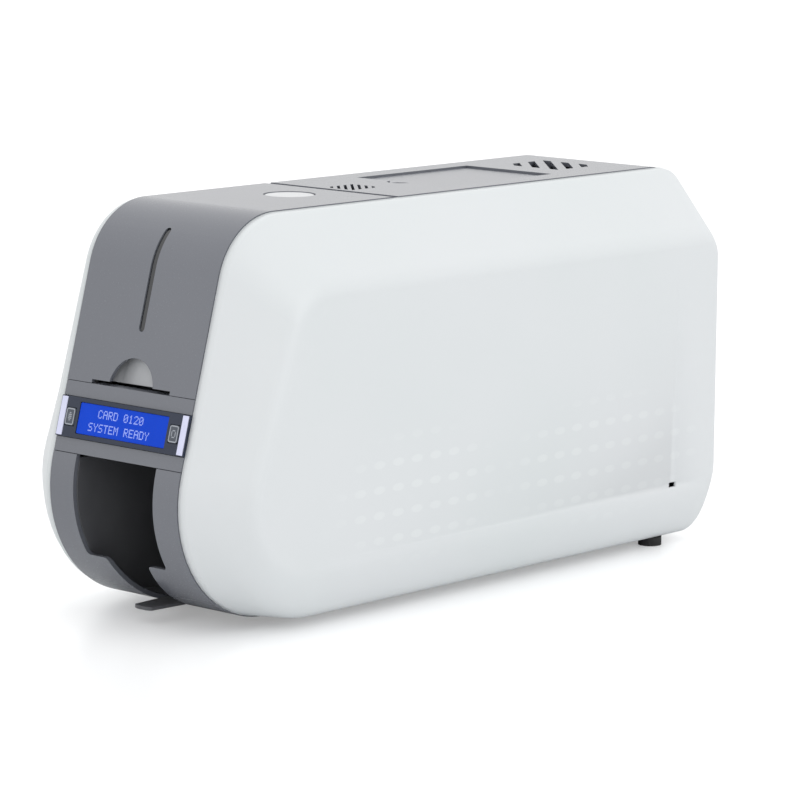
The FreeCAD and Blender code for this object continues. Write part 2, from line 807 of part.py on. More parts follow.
def makeTopCover():
    region = box("top_cover_region", -wide, wide, s.coverSeamY, rearAll, s.topSeamZ + s.seamGap/2, aboveAll)
    skin = common("top_cover_skin", bandShell, region)
    sweep = rod("cover_sweep", "X", pivotY, pivotZ, -wide, wide, s.coverRoll + s.coverRollGap)
    rim = s.lidHalf + s.lidGap
    collar = box("lid_collar", -(rim + s.collarWall), rim + s.collarWall,
                 s.lidFrontY - s.lidGap - s.collarWall, s.lidRearY + s.lidGap + s.collarWall,
                 s.collarLowZ, skinZ)
    posts = []
    offset = s.fanSide/2 - s.fanPostInset
    for i, (x, y) in enumerate(((offset, s.fanY + offset), (-offset, s.fanY + offset),
                                (offset, s.fanY - offset), (-offset, s.fanY - offset))):
        posts.append(rod("fan_post_%d" % i, "Z", x, y, s.fanLowZ + s.fanHeight, skinZ, s.fanPostRadius))
    body = fuse("top_cover_body", skin, collar, *posts)
    opening = box("lid_opening", -rim, rim, s.lidFrontY - s.lidGap, s.lidRearY + s.lidGap,
                  s.collarLowZ - s.overrun, aboveAll)
    bore = rod("lid_pin_bore", "X", lidPivotY, lidPivotZ, -(rim + s.overrun), rim + s.overrun,
               s.lidPinRadius + s.pinClearance)
    front = ventSlots("front_vents", s.frontVentHalf, s.frontVentStartY, s.frontVentEndY,
                      s.frontVentPitch, s.frontVentSlot, counts["frontVentCount"])
    rear = ventSlots("rear_vents", s.rearVentHalf, s.rearVentStartY, s.rearVentEndY,
                     s.rearVentPitch, s.rearVentSlot, counts["rearVentCount"])
    node("top_cover", cut("top_cover", body, sweep, opening, bore, front, rear, fingerDish("cover_dish")))


def makeLid():
    low = skinZ - s.lidSink
    plate = box("lid_plate", -s.lidHalf, s.lidHalf, s.lidFrontY, lidPivotY, low, s.bodyHeight - s.lidSink)
    barrel = rod("lid_barrel", "X", lidPivotY, lidPivotZ, -s.lidHalf, s.lidHalf, s.lidBarrel)
    rib = box("lid_rib", -(s.lidHalf - s.lidRibInset), s.lidHalf - s.lidRibInset,
              s.lidFrontY + s.lidRibInset, lidPivotY - s.lidRibInset, low - s.lidRibDepth, low)
    bore = rod("lid_bore", "X", lidPivotY, lidPivotZ, -(s.lidHalf + s.overrun), s.lidHalf + s.overrun,
               s.lidPinRadius + s.pinClearance)
    body = fuse("lid_body", plate, barrel, rib)
    node("hopper_lid", cut("hopper_lid", body, bore, fingerDish("lid_dish")))
    end = s.lidHalf + s.lidGap + s.collarWall
    node("lid_hinge_pin", rod("lid_hinge_pin", "X", lidPivotY, lidPivotZ, -end, end, s.lidPinRadius))


# Display module

def buttonPlate(name, centre, grow, depth0, depth1):
    return sloped(name, centre - s.buttonHalf - grow, centre + s.buttonHalf + grow, depth0, depth1,
                  s.buttonMiddle - s.buttonTall/2 - grow, s.buttonMiddle + s.buttonTall/2 + grow,
                  s.buttonRadius)


def makeDisplay():
    thick = cut("display_band", bandOuter, band("display_inner", s.displayDepth, bandSide - s.coverWall), bandDeep)
    region = box("display_region", -wide, wide, frontAll, s.frontRegionY,
                 s.displayLowZ + s.seamGap/2, s.displayHighZ - s.seamGap/2)
    block = common("display_block", thick, region)
    pocket = sloped("display_pocket", -wide, wide, -s.overrun, s.pocketDepth, s.panelLow, s.panelHigh,
                    s.panelCornerRadius)
    holes = [buttonPlate("frame_hole_%s" % side, x, s.fitGap, 0, s.displayDepth + s.overrun)
             for side, x in (("right", s.buttonX), ("left", -s.buttonX))]
    node("display_frame", cut("display_frame", block, pocket, *holes))

    low = s.panelLow + s.fitGap
    high = s.panelHigh - s.fitGap
    plate = sloped("panel_plate", -s.panelHalf, s.panelHalf, s.panelRecess, s.pocketDepth, low, high,
                   s.panelCornerRadius)
    window = sloped("lcd_window", -s.lcdHalf, s.lcdHalf, -s.overrun, s.pocketDepth + s.overrun,
                    s.lcdLow, s.lcdHigh, s.panelCornerRadius)
    holes = [buttonPlate("panel_hole_%s" % side, x, s.fitGap, -s.overrun, s.displayDepth)
             for side, x in (("right", s.buttonX), ("left", -s.buttonX))]
    node("display_panel", cut("display_panel", plate, window, *holes))
    node("display_lcd", sloped("display_lcd", s.fitGap - s.lcdHalf, s.lcdHalf - s.fitGap, s.lcdRecess,
                               s.pocketDepth, s.lcdLow + s.fitGap, s.lcdHigh - s.fitGap,
                               s.panelCornerRadius))
    start = s.panelHalf + s.fitGap
    node("light_bar_right", sloped("light_bar_right", start, bandSide, s.barRecess, s.pocketDepth,
                                   low, high, s.panelCornerRadius))
    node("light_bar_left", sloped("light_bar_left", -bandSide, -start, s.barRecess, s.pocketDepth,
                                  low, high, s.panelCornerRadius))
    for side, x in (("right", s.buttonX), ("left", -s.buttonX)):
        node("button_" + side, buttonPlate("button_" + side, x, asSize(0), asSize(0), s.buttonDepth))


def makeCardGuide():
    # the foot's rear edge stands on the display frame
    low = s.displayHighZ/leanCos
    foot = (s.displayHighZ - s.seamGap/2 + (s.guideDepth + s.guideThick)*leanSin)/leanCos
    arch = low + s.cardSlotHeight + s.guideThick/2
    corners = [
        (-s.guideHalf, foot, 0), (s.guideLeg - s.guideHalf, foot, 0),
        (s.guideLeg - s.guideHalf, arch, 0), (s.guideHalf - s.guideLeg, arch, 0),
        (s.guideHalf - s.guideLeg, foot, 0), (s.guideHalf, foot, 0),
        (s.guideHalf, s.guideTop, s.guideRadius), (-s.guideHalf, s.guideTop, s.guideRadius),
    ]
    sketch = outline("card_guide_outline", "slope", s.guideDepth, corners)
    node("card_guide", extrude("card_guide", sketch, s.guideThick, reverse=True))


# Output bezel and tray

def mouth():
    top = s.displayLowZ + s.overrun
    corners = [
        (-s.mouthHalf, top, 0), (-s.mouthHalf, s.lipZ, s.lipRadius), (-s.thumbHalf, s.lipZ, s.lipRadius),
        (-s.thumbLowHalf, s.thumbLowZ, s.thumbRadius), (s.thumbLowHalf, s.thumbLowZ, s.thumbRadius),
        (s.thumbHalf, s.lipZ, s.lipRadius), (s.mouthHalf, s.lipZ, s.lipRadius), (s.mouthHalf, top, 0),
    ]
    sketch = outline("mouth_outline", "front", s.frontRegionY, corners)
    return extrude("mouth", sketch, s.frontRegionY - frontAll)


def makeOutput():
    region = box("bezel_region", -wide, wide, frontAll, s.baseFrontY - s.seamGap/2,
                 0, s.displayLowZ - s.seamGap/2)
    skin = common("bezel_skin", bandShell, region)
    node("output_bezel", cut("output_bezel", skin, mouth()))

    outerHalf = s.mouthHalf + s.trayWall
    low = floorZ + s.trayGap
    channel = box("tray_block", -outerHalf, outerHalf, frontAll, s.trayRearY, low, s.trayTopZ)
    inside = box("tray_inside", -s.mouthHalf, s.mouthHalf, frontAll - s.overrun, s.trayRearY - s.trayWall,
                 low + s.trayWall, s.trayTopZ + s.overrun)
    open_channel = cut("tray_channel", channel, inside)
    fitted = common("tray_fitted", open_channel, band("tray_limit", s.coverWall + s.trayGap, wide))
    root = s.frontRegionY - s.fitGap
    tip = s.frontRegionY - s.tongueReach
    corners = [
        (-s.tongueRootHalf, root, 0), (-s.tongueTipHalf, tip, s.tongueTipRadius),
        (s.tongueTipHalf, tip, s.tongueTipRadius), (s.tongueRootHalf, root, 0),
    ]
    tongue = extrude("tray_tongue", outline("tongue_outline", "top", low, corners), s.trayWall)
    node("output_tray", fuse("output_tray", fitted, tongue))


# Base, rear panel and feet

def makeBase():
    region = box("base_region", -wide, wide, s.baseFrontY + s.seamGap/2, s.rearSeamY - s.seamGap/2,
                 0, s.footHeight + s.flangeDepth)
    node("base_pan", common("base_pan", bandShell, region))
    feet = []
    frontPad = s.padFrontInset - rearY
    rearPad = rearY - s.padRearInset
    for i, (x, y) in enumerate(((s.padFrontX, frontPad), (-s.padFrontX, frontPad),
                                (s.padRearX, rearPad), (-s.padRearX, rearPad))):
        feet.append(rod("foot_%d" % i, "Z", x, y, 0, s.footHeight, s.padRadius))
    node("feet", fuse("feet", *feet))
    heads = []
    for i, (x, y) in enumerate(((s.screwX, s.screwFrontY), (-s.screwX, s.screwFrontY),
                                (s.screwX, s.screwRearY), (-s.screwX, s.screwRearY))):
        heads.append(rod("screw_%d" % i, "Z", x, y, floorZ, floorZ + s.screwHeight, s.screwRadius))
    node("case_screws", fuse("case_screws", *heads))


def socketSpan(x, width, grow):
    half = asSize(width)/2 + grow
    return asSize(x) - half, asSize(x) + half


def makeRearPanel():
    region = box("rear_region", -wide, wide, s.rearSeamY + s.seamGap/2, rearAll, 0, s.topSeamZ - s.seamGap/2)
    skin = common("rear_skin", bandShell, region)
    boardTop = s.boardZ + s.boardThick
    holes = []
    for name, x, width, height in (("usb", s.usbX, s.usbWidth, s.usbHeight),
                                   ("ethernet", s.ethernetX, s.ethernetWidth, s.ethernetHeight),
                                   ("inlet", s.inletX, s.inletWidth, s.inletHeight)):
        x0, x1 = socketSpan(x, width, s.seamGap)
        holes.append(box(name + "_hole", x0, x1, s.rearSeamY - s.overrun, rearAll,
                         boardTop - s.seamGap, boardTop + height + s.seamGap))
    holes.append(box("switch_hole", s.rockerX - s.switchHalf, s.rockerX + s.switchHalf,
                     s.rearSeamY - s.overrun, rearAll,
                     s.rockerZ - s.switchTall/2, s.rockerZ + s.switchTall/2))
    node("rear_panel", cut("rear_panel", skin, *holes))


def makeBoard():
    plate = box("board_plate", -s.boardHalf, s.boardHalf, s.boardFrontY, s.boardRearY,
                s.boardZ, s.boardZ + s.boardThick)
    top = s.boardZ + s.boardThick
    parts = [plate]
    for i in range(3):
        x = s.chipPitch*i - s.chipSide*2
        y = s.boardFrontY + s.chipSide*(2 + i)
        parts.append(box("chip_%d" % i, x, x + s.chipSide, y, y + s.chipSide, top, top + s.chipHeight))
    for i in range(3):
        parts.append(rod("capacitor_%d" % i, "Z", s.boardHalf - s.capRadius*2,
                         s.boardFrontY + s.capRadius*(3 + i*3), top, top + s.capHeight, s.capRadius))
    node("circuit_board", fuse("circuit_board", *parts))
    standoffs = []
    frontStand = s.boardFrontY + s.standoffInset
    rearStand = s.socketFrontY - s.standoffInset
    sideStand = s.boardHalf - s.standoffInset
    for i, (x, y) in enumerate(((sideStand, frontStand), (-sideStand, frontStand),
                                (sideStand, rearStand), (-sideStand, rearStand))):
        standoffs.append(rod("standoff_%d" % i, "Z", x, y, floorZ, s.boardZ, s.standoffRadius))
    node("board_standoffs", fuse("board_standoffs", *standoffs))
    end = rearY - s.socketSink
    for name, x, width, height in (("usb_port", s.usbX, s.usbWidth, s.usbHeight),
                                   ("ethernet_port", s.ethernetX, s.ethernetWidth, s.ethernetHeight)):
        x0, x1 = socketSpan(x, width, 0)
        block = box(name + "_block", x0, x1, s.socketFrontY, end, top, top + height)
        hollow = box(name + "_mouth", x0 + s.socketLip, x1 - s.socketLip, end - s.socketDepth,
                     end + s.overrun, top + s.socketLip, top + height - s.socketLip)
        node(name, cut(name, block, hollow))
    x0, x1 = socketSpan(s.inletX, s.inletWidth, 0)
    middle = top + s.inletHeight/2
    block = box("inlet_block", x0, x1, s.socketFrontY, end, top, top + s.inletHeight)
    hole = rod("inlet_hole", "Y", s.inletX, middle, end - s.socketDepth, end + s.overrun, s.inletHoleRadius)
    pin = rod("inlet_pin", "Y", s.inletX, middle, end - s.socketDepth - s.socketLip, end - s.socketLip,
              s.inletPinRadius)
    node("power_inlet", fuse("power_inlet", cut("inlet_bored", block, hole), pin))


def makePowerSwitch():
    frontFace = rearY
    low = s.rockerZ - s.switchTall/2 + s.seamGap
    high = s.rockerZ + s.switchTall/2 - s.seamGap
    half = s.switchHalf - s.seamGap
    block = box("switch_block", s.rockerX - half, s.rockerX + half, frontFace - s.switchDepth, frontFace,
                low, high)
    hollow = box("switch_hollow", s.rockerX - s.rockerHalf - s.switchGap, s.rockerX + s.rockerHalf + s.switchGap,
                 frontFace - s.rockerDepth - s.switchGap*4, frontFace + s.overrun,
                 s.rockerZ - s.rockerTall/2 - s.switchGap*2, s.rockerZ + s.rockerTall/2 + s.switchGap*2)
    pivot = frontFace - s.rockerPinInset
    bore = rod("switch_bore", "X", pivot, s.rockerZ, s.rockerX - half - s.overrun, s.rockerX + half + s.overrun,
               s.rockerPinInset/3 + s.pinClearance)
    node("power_switch_housing", cut("power_switch_housing", block, hollow, bore))
    corners = [
        (pivot - s.rockerPinInset/2, s.rockerZ - s.rockerTall/4, s.leastRadius/2),
        (frontFace - s.rockerDip, s.rockerZ - s.rockerTall/2, 0),
        (frontFace - s.rockerDip, s.rockerZ, 0),
        (frontFace - s.rockerDip/4, s.rockerZ + s.rockerTall/2, 0),
        (pivot - s.rockerPinInset/2, s.rockerZ + s.rockerTall/4, s.leastRadius/2),
    ]
    sketch = outline("rocker_outline", "side", s.rockerX, corners)
    key = extrude("rocker_key", sketch, s.rockerHalf*2, symmetric=True)
    reach = half - s.seamGap
    pin = rod("rocker_pin", "X", pivot, s.rockerZ, s.rockerX - reach, s.rockerX + reach, s.rockerPinInset/3)
    node("power_rocker", fuse("power_rocker", key, pin))


# Chassis

rollerPlaces = {
    "exit_roller": s.exitRollerY,
    "platen_roller": platenY,
    "feed_roller": feedY,
    "entry_roller": entryY,
    "pick_roller": pickY,
}
pinchPlaces = {"exit_pinch_roller": s.exitRollerY, "feed_pinch_roller": feedY}


def chassisPlate(name, start):
    low = floorZ + s.plateLift
    r = s.plateCornerRadius
    corners = [
        (s.plateToeY, low, r), (s.plateFrontY, s.plateFrontZ, r*2), (s.plateBrowY, s.plateBrowZ, r),
        (s.plateSaddleY, s.plateSaddleZ, r), (s.plateNeckFrontY, s.plateShoulderZ, r/2),
        (s.plateShoulderY, s.plateShoulderZ, r), (s.plateRearY, s.plateRearZ, r), (s.plateRearY, low, r),
    ]
    sheetMetal = extrude(name + "_sheet", outline(name + "_outline", "side", start, corners), s.plateThick)
    neck = box(name + "_neck", start, asSize(start) + s.plateThick, pivotY - s.lugNeckHalf,
               pivotY + s.lugNeckHalf, s.plateShoulderZ - s.plateCornerRadius, pivotZ)
    lug = rod(name + "_lug", "X", pivotY, pivotZ, start, asSize(start) + s.plateThick, s.lugRadius)
    body = fuse(name + "_body", sheetMetal, neck, lug)
    ends = (asSize(start) - s.overrun, asSize(start) + s.plateThick + s.overrun)
    holes = [rod("%s_%s_hole" % (name, place_), "X", y, rollerZ, ends[0], ends[1],
                 s.shaftRadius + s.shaftClearance) for place_, y in rollerPlaces.items()]
    holes += [rod("%s_%s_hole" % (name, place_), "X", y, pinchZ, ends[0], ends[1],
                  s.pinchShaftRadius + s.shaftClearance) for place_, y in pinchPlaces.items()]
    holes.append(rod(name + "_pin_hole", "X", pivotY, pivotZ, ends[0], ends[1],
                     s.coverPinRadius + s.pinClearance/2))
    holes.append(rod(name + "_pilot", "X", motorY, motorZ, ends[0], ends[1], s.motorPilotRadius))
    return cut(name, body, *holes)


def makeChassis():
    node("chassis_plate_right", chassisPlate("chassis_plate_right", s.plateInner))
    node("chassis_plate_left", chassisPlate("chassis_plate_left", -plateOuter))
    barZ = s.binFloorZ - s.binWall - s.seamGap - s.crossBarRadius
    places = (
        (entryY + gearStep, barZ), (pickY + s.rollerRadius*2, barZ),
        (s.trayRearY + s.crossBarRadius*3, s.lipZ), (s.plateRearY - s.crossBarRadius*6, s.plateRearZ),
    )
    bars = [rod("cross_bar_%d" % i, "X", y, z, -s.plateInner, s.plateInner, s.crossBarRadius)
            for i, (y, z) in enumerate(places)]
    node("cross_bars", fuse("cross_bars", *bars))
    pins = [rod("cover_pin_right", "X", pivotY, pivotZ, s.coverPinInner, bandSide, s.coverPinRadius),
            rod("cover_pin_left", "X", pivotY, pivotZ, -bandSide, -s.coverPinInner, s.coverPinRadius)]
    node("cover_hinge_pins", fuse("cover_hinge_pins", *pins))
    studs = [rod("idler_stud_%d" % i, "X", y, rollerZ, plateOuter, gearEnd + s.collarThick, s.shaftRadius)
             for i, y in enumerate(idlerPlaces)]
    node("idler_studs", fuse("idler_studs", *studs))


# Gears: a rim with one tooth that is patterned round it

def gearBody(name, teeth, pitchRadius, y, z, turn):
    body = doc.addObject("PartDesign::Body", name)
    features = {feature.Role: feature for feature in body.Origin.OriginFeatures}
    rim = body.newObject("Sketcher::SketchObject", name + "_rim")
    rim.AttachmentSupport = [(features["XY_Plane"], "")]
    rim.MapMode = "FlatFace"
    rootRadius = pitchRadius - s.toothDedendum
    rim.addGeometry(Part.Circle(Vector(), Vector(0, 0, 1), rootRadius.value), False)
    rim.addConstraint(Rule("Coincident", 0, 3, -1, 1))
    bind(rim, "Constraints[%d]" % rim.addConstraint(Rule("Radius", 0, rootRadius.value)), rootRadius)
    disc = body.newObject("PartDesign::Pad", name + "_disc")
    disc.Profile = rim
    bind(disc, "Length", s.gearWidth)
    flank = body.newObject("Sketcher::SketchObject", name + "_flank")
    flank.AttachmentSupport = [(features["XY_Plane"], "")]
    flank.MapMode = "FlatFace"
    base = rootRadius - s.toothSink
    tip = pitchRadius + s.toothAddendum
    drawOutline(flank, [(base, -s.toothRoot, asSize(0)), (tip, -s.toothTip, asSize(0)),
                        (tip, s.toothTip, asSize(0)), (base, s.toothRoot, asSize(0))])
    tooth = body.newObject("PartDesign::Pad", name + "_tooth")
    tooth.Profile = flank
    bind(tooth, "Length", s.gearWidth)
    doc.recompute()
    ring = body.newObject("PartDesign::PolarPattern", name + "_teeth")
    ring.Originals = [tooth]
    ring.Axis = (features["Z_Axis"], [""])
    ring.Angle = 360
    bind(ring, "Occurrences", teeth)
    body.Tip = ring
    place(body, s.gearStart, y, z, alongX*Rotation(Vector(0, 0, 1), turn))
    return body


idlerPlaces = [s.exitRollerY + gearStep, platenY + gearStep, feedY + gearStep, entryY + gearStep]


def makeRollers():
    for name, y in rollerPlaces.items():
        half = s.pickHalf if name == "pick_roller" else s.rollerHalf
        shaft = rod(name + "_shaft", "X", y, rollerZ, -s.shaftLeft, gearEnd, s.shaftRadius)
        rubber = rod(name + "_rubber", "X", y, rollerZ, -half, half, s.rollerRadius)
        gear = gearBody(name + "_gear", s.rollerTeeth, rollerPitchRadius, y, rollerZ, 0)
        node(name, fuse(name, shaft, rubber, gear))
    for i, y in enumerate(idlerPlaces):
        name = "idler_gear_%d" % (i + 1)
        wheel = gearBody(name + "_wheel", s.idlerTeeth, idlerPitchRadius, y, rollerZ, s.toothShiftAngle.value)
        bore = rod(name + "_bore", "X", y, rollerZ, s.gearStart - s.overrun, gearEnd + s.overrun,
                   s.shaftRadius + s.shaftClearance)
        node(name, cut(name, wheel, bore))
    pinion = gearBody("pinion_wheel", s.pinionTeeth, pinionPitchRadius, motorY, motorZ, 0)
    shaft = rod("motor_shaft", "X", motorY, motorZ, s.plateInner, gearEnd, s.motorShaftRadius)
    node("motor_pinion", fuse("motor_pinion", pinion, shaft))
    can = rod("motor_can", "X", motorY, motorZ, s.plateInner - s.motorLength, s.plateInner, s.motorRadius)
    node("drive_motor", can)
    for name, y in pinchPlaces.items():
        shaft = rod(name + "_shaft", "X", y, pinchZ, -s.pinchEnd, s.pinchEnd, s.pinchShaftRadius)
        rubber = rod(name + "_rubber", "X", y, pinchZ, -s.rollerHalf, s.rollerHalf, s.pinchRadius)
        node(name, fuse(name, shaft, rubber))


# Ribbon cassette

def spool(name, y, z, wind):
    end = s.cassetteInner + s.cassetteThick
    pieces = [rod(name + "_shaft", "X", y, z, -end, end, s.spoolShaftRadius),
              rod(name + "_wind", "X", y, z, -s.filmHalf, s.filmHalf, wind)]
    for side, start in (("right", s.spoolHalf - s.spoolFlangeThick), ("left", -s.spoolHalf)):
        pieces.append(rod("%s_flange_%s" % (name, side), "X", y, z, start, start + s.spoolFlangeThick,
                          s.spoolFlangeRadius))
    node(name, fuse(name, *pieces))


def makeCassette():
    spool("ribbon_supply_spool", s.supplyY, s.supplyZ, s.supplyWindRadius)
    spool("ribbon_take_up_spool", s.takeUpY, s.takeUpZ, s.takeUpWindRadius)
    corners = rectangle(s.cassetteFrontY, s.cassetteRearY, s.cassetteLowZ, s.cassetteHighZ, s.cassetteRadius)
    pieces = []
    for side, start in (("right", s.cassetteInner), ("left", -(s.cassetteInner + s.cassetteThick))):
        sketch = outline("cassette_%s_outline" % side, "side", start, corners)
        pieces.append(extrude("cassette_" + side, sketch, s.cassetteThick))
    reach = s.plateInner - s.fitGap
    pieces.append(rod("cassette_rear_bar", "X", s.cassetteRearY - s.cassetteBarInset,
                      s.cassetteLowZ + s.cassetteBarInset/2, -reach, reach, s.cassetteBarRadius))
    pieces.append(rod("cassette_front_bar", "X", s.cassetteFrontY + s.cassetteBarInset*2,
                      s.cassetteHighZ - s.cassetteBarInset/2, -reach, reach, s.cassetteBarRadius))
    frame = fuse("cassette_body", *pieces)
    bores = [rod(name + "_bore", "X", y, z, -s.plateInner, s.plateInner, s.spoolShaftRadius + s.shaftClearance)
             for name, y, z in (("supply", s.supplyY, s.supplyZ), ("take_up", s.takeUpY, s.takeUpZ))]
    node("ribbon_cassette_frame", cut("ribbon_cassette_frame", frame, *bores))
    level = s.rollerTopZ + s.filmLift
    gap = s.seamGap
    front = platenY - s.headDepth/2 - gap*4
    rear = platenY + s.headDepth/2 + gap*4
    takeUp = s.takeUpZ - s.takeUpWindRadius - gap
    supply = s.supplyZ - s.supplyWindRadius - gap
    corners = [
        (s.takeUpY, takeUp, 0), (front, level, 0), (rear, level, 0), (s.supplyY, supply, 0),
        (s.supplyY, supply - s.filmThick, 0), (rear, level - s.filmThick, 0),
        (front, level - s.filmThick, 0), (s.takeUpY, takeUp - s.filmThick, 0),
    ]
    sketch = outline("ribbon_outline", "side", 0, corners)
    node("ribbon_film", extrude("ribbon_film", sketch, s.filmHalf*2, symmetric=True))


# Input hopper with its card weight

def makeHopper():
    half = s.binHalf
    inner = half - s.binWall
    low = s.binFloorZ - s.binWall
    block = box("bin_block", -half, half, s.binFrontY, s.binRearY, low, s.binTopZ)
    hollow = box("bin_hollow", -inner, inner, s.binFrontY + s.binWall, s.binRearY - s.binWall,
                 s.binFloorZ, s.binTopZ + s.overrun)
    mouthGap = box("bin_mouth", -inner, inner, s.binFrontY - s.overrun, s.binFloorStartY,
                   low - s.overrun, s.binMouthZ)
    reach = s.rollerRadius
    pickSlot = box("pick_slot", -(s.pickHalf + s.binWall), s.pickHalf + s.binWall, pickY - reach,
                   pickY + reach, low - s.overrun, s.binFloorZ + s.overrun)
    middle = (s.weightFrontY + s.weightRearY)/2
    slots = box("weight_slots", -(half + s.overrun), half + s.overrun,
                middle - s.earHalf - s.seamGap, middle + s.earHalf + s.seamGap, s.binFloorZ, s.slotTopZ)
    node("input_hopper", cut("input_hopper", block, hollow, mouthGap, pickSlot, slots))
    base = s.rollerTopZ + s.weightLift
    plate = box("weight_plate", -s.weightHalf, s.weightHalf, s.weightFrontY, s.weightRearY,
                base, base + s.weightThick)
    ears = box("weight_ears", -s.earReach, s.earReach, middle - s.earHalf, middle + s.earHalf,
               base, base + s.weightThick)
    node("card_weight", fuse("card_weight", plate, ears))


# Fan

def makeFan():
    half = s.fanSide/2
    top = s.fanLowZ + s.fanHeight
    block = box("fan_block", -half, half, s.fanY - half, s.fanY + half, s.fanLowZ, top)
    bore = rod("fan_bore", "Z", 0, s.fanY, s.fanLowZ - s.overrun, top + s.overrun, s.fanBore)
    back = [rod("fan_back", "Z", 0, s.fanY, s.fanLowZ, s.fanLowZ + s.fanBackThick, s.fanHub),
            box("fan_spoke_x", -half, half, s.fanY - s.fanSpoke/2, s.fanY + s.fanSpoke/2,
                s.fanLowZ, s.fanLowZ + s.fanBackThick),
            box("fan_spoke_y", -(s.fanSpoke/2), s.fanSpoke/2, s.fanY - half, s.fanY + half,
                s.fanLowZ, s.fanLowZ + s.fanBackThick)]
    node("fan_frame", fuse("fan_frame", cut("fan_ring", block, bore), *back))
    low = s.fanLowZ + s.fanBackThick + s.seamGap
    hub = rod("fan_hub", "Z", 0, s.fanY, low, top - s.seamGap, s.fanHub)
    blades = []
    for i in range(counts["bladeCount"]):
        blade = doc.addObject("Part::Box", "fan_blade_%d" % i)
        bind(blade, "Length", s.fanBlade - s.fanHub/2)
        bind(blade, "Width", s.fanBladeThick)
        bind(blade, "Height", s.fanHeight - s.fanBackThick*2)
        turn = Rotation(Vector(0, 0, 1), 360*i/counts["bladeCount"])
        start = turn.multVec(Vector(1, 0, 0))
        place(blade, s.fanHub*(start.x/2), s.fanY + s.fanHub*(start.y/2), low,
              turn*Rotation(Vector(1, 0, 0), -s.bladePitchAngle.value))
        blades.append(blade)
    swept = rod("fan_sweep", "Z", 0, s.fanY, low, top - s.seamGap, s.fanBlade)
    node("fan_rotor", fuse("fan_rotor", hub, common("fan_blades", fuse("fan_blades_all", *blades), swept)))


makeSideCovers()
makeFrontCover()
makeReleaseButton()
makePrintHead()
makeTopCover()
makeLid()
makeDisplay()
makeCardGuide()
makeOutput()
makeBase()
makeRearPanel()
makeBoard()
makePowerSwitch()
makeChassis()
makeRollers()
makeCassette()
makeHopper()
makeFan()
doc.recompute()

for thing in doc.Objects:
    if "Invalid" in thing.State or "Error" in thing.State:
        raise RuntimeError("failed: " + thing.Name)
os.makedirs("parts", exist_ok=True)
for name, solid in nodes.items():
    shape = solid.Shape
    if shape.isNull() or not shape.isValid() or not shape.Solids:
        raise RuntimeError("bad shape: " + name)
    shape.exportStep("parts/%s.step" % name)
    print(name, len(shape.Solids), len(shape.Faces), round(shape.Volume))
print(len(nodes), "nodes")
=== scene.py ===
import math

import bmesh
import bpy
from mathutils import Matrix, Vector


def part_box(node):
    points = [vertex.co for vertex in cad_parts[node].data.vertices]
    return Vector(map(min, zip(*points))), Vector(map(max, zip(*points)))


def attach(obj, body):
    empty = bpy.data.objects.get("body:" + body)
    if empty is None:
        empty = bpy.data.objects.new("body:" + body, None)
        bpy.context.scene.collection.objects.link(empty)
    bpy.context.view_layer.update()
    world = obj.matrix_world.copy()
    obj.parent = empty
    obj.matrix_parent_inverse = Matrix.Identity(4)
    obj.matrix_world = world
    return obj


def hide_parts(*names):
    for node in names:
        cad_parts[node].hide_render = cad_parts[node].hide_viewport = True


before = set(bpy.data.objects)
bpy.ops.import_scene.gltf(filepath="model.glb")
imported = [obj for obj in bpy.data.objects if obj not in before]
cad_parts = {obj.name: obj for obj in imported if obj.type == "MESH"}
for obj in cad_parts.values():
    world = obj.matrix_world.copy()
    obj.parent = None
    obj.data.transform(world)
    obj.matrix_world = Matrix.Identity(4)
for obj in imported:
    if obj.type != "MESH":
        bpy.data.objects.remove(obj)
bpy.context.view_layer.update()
mm = 0.001
hair = 1e-7  # metres: points nearer than this to a cut lie on it

# the camera stands where the photograph was taken from
cameraPlace = {
    "location": (1.3910552, -1.5257565, 0.4391459),
    "yaw": 2.3044, "pitch": -0.1644, "roll": 0.0076,
    "lens": 171.926, "sensor": 36.0, "shift": (-0.00137, -0.00101), "clipEnd": 30,
}


def makeCamera(place):
    yaw, pitch, roll = place["yaw"], place["pitch"], place["roll"]
    ahead = Vector((math.cos(yaw)*math.cos(pitch), math.sin(yaw)*math.cos(pitch), math.sin(pitch)))
    side = Vector((math.sin(yaw), -math.cos(yaw), 0))
    over = side.cross(ahead)
    right = side*math.cos(roll) + over*math.sin(roll)
    up = over*math.cos(roll) - side*math.sin(roll)
    data = bpy.data.cameras.new("photoCamera")
    data.lens = place["lens"]
    data.sensor_width = place["sensor"]
    data.shift_x, data.shift_y = place["shift"]
    data.clip_end = place["clipEnd"]
    camera = bpy.data.objects.new("photoCamera", data)
    turn = Matrix((right, up, -ahead)).transposed().to_4x4()
    camera.matrix_world = Matrix.Translation(place["location"]) @ turn
    bpy.context.scene.collection.objects.link(camera)
    bpy.context.scene.camera = camera


makeCamera(cameraPlace)


def linearColour(code):
    # the sRGB curve
    parts = [int(code[i:i + 2], 16)/255 for i in (1, 3, 5)]
    return tuple(c/12.92 if c <= 0.04045 else ((c + 0.055)/1.055)**2.4 for c in parts) + (1.0,)


def addNode(tree, kind, settings=None, inputs=None):
    node = tree.nodes.new("ShaderNode" + kind)
    for key, value in (settings or {}).items():
        setattr(node, key, value)
    for key, value in (inputs or {}).items():
        if isinstance(value, bpy.types.NodeSocket):
            tree.links.new(value, node.inputs[key])
        else:
            node.inputs[key].default_value = value
    return node


def startMaterial(name):
    material = bpy.data.materials.new(name)
    material.use_nodes = True
    material.node_tree.nodes.clear()
    return material, material.node_tree


# a look has these unless it says otherwise
plainLook = {"metallic": 0.0, "ior": 1.5, "coat": 0.0, "coatRoughness": 0.1, "specular": 0.5, "glow": 0.0}
noise = {"driftDetail": 2.0, "grainDetail": 3.0, "darkEnd": 0.3, "paleEnd": 0.7}


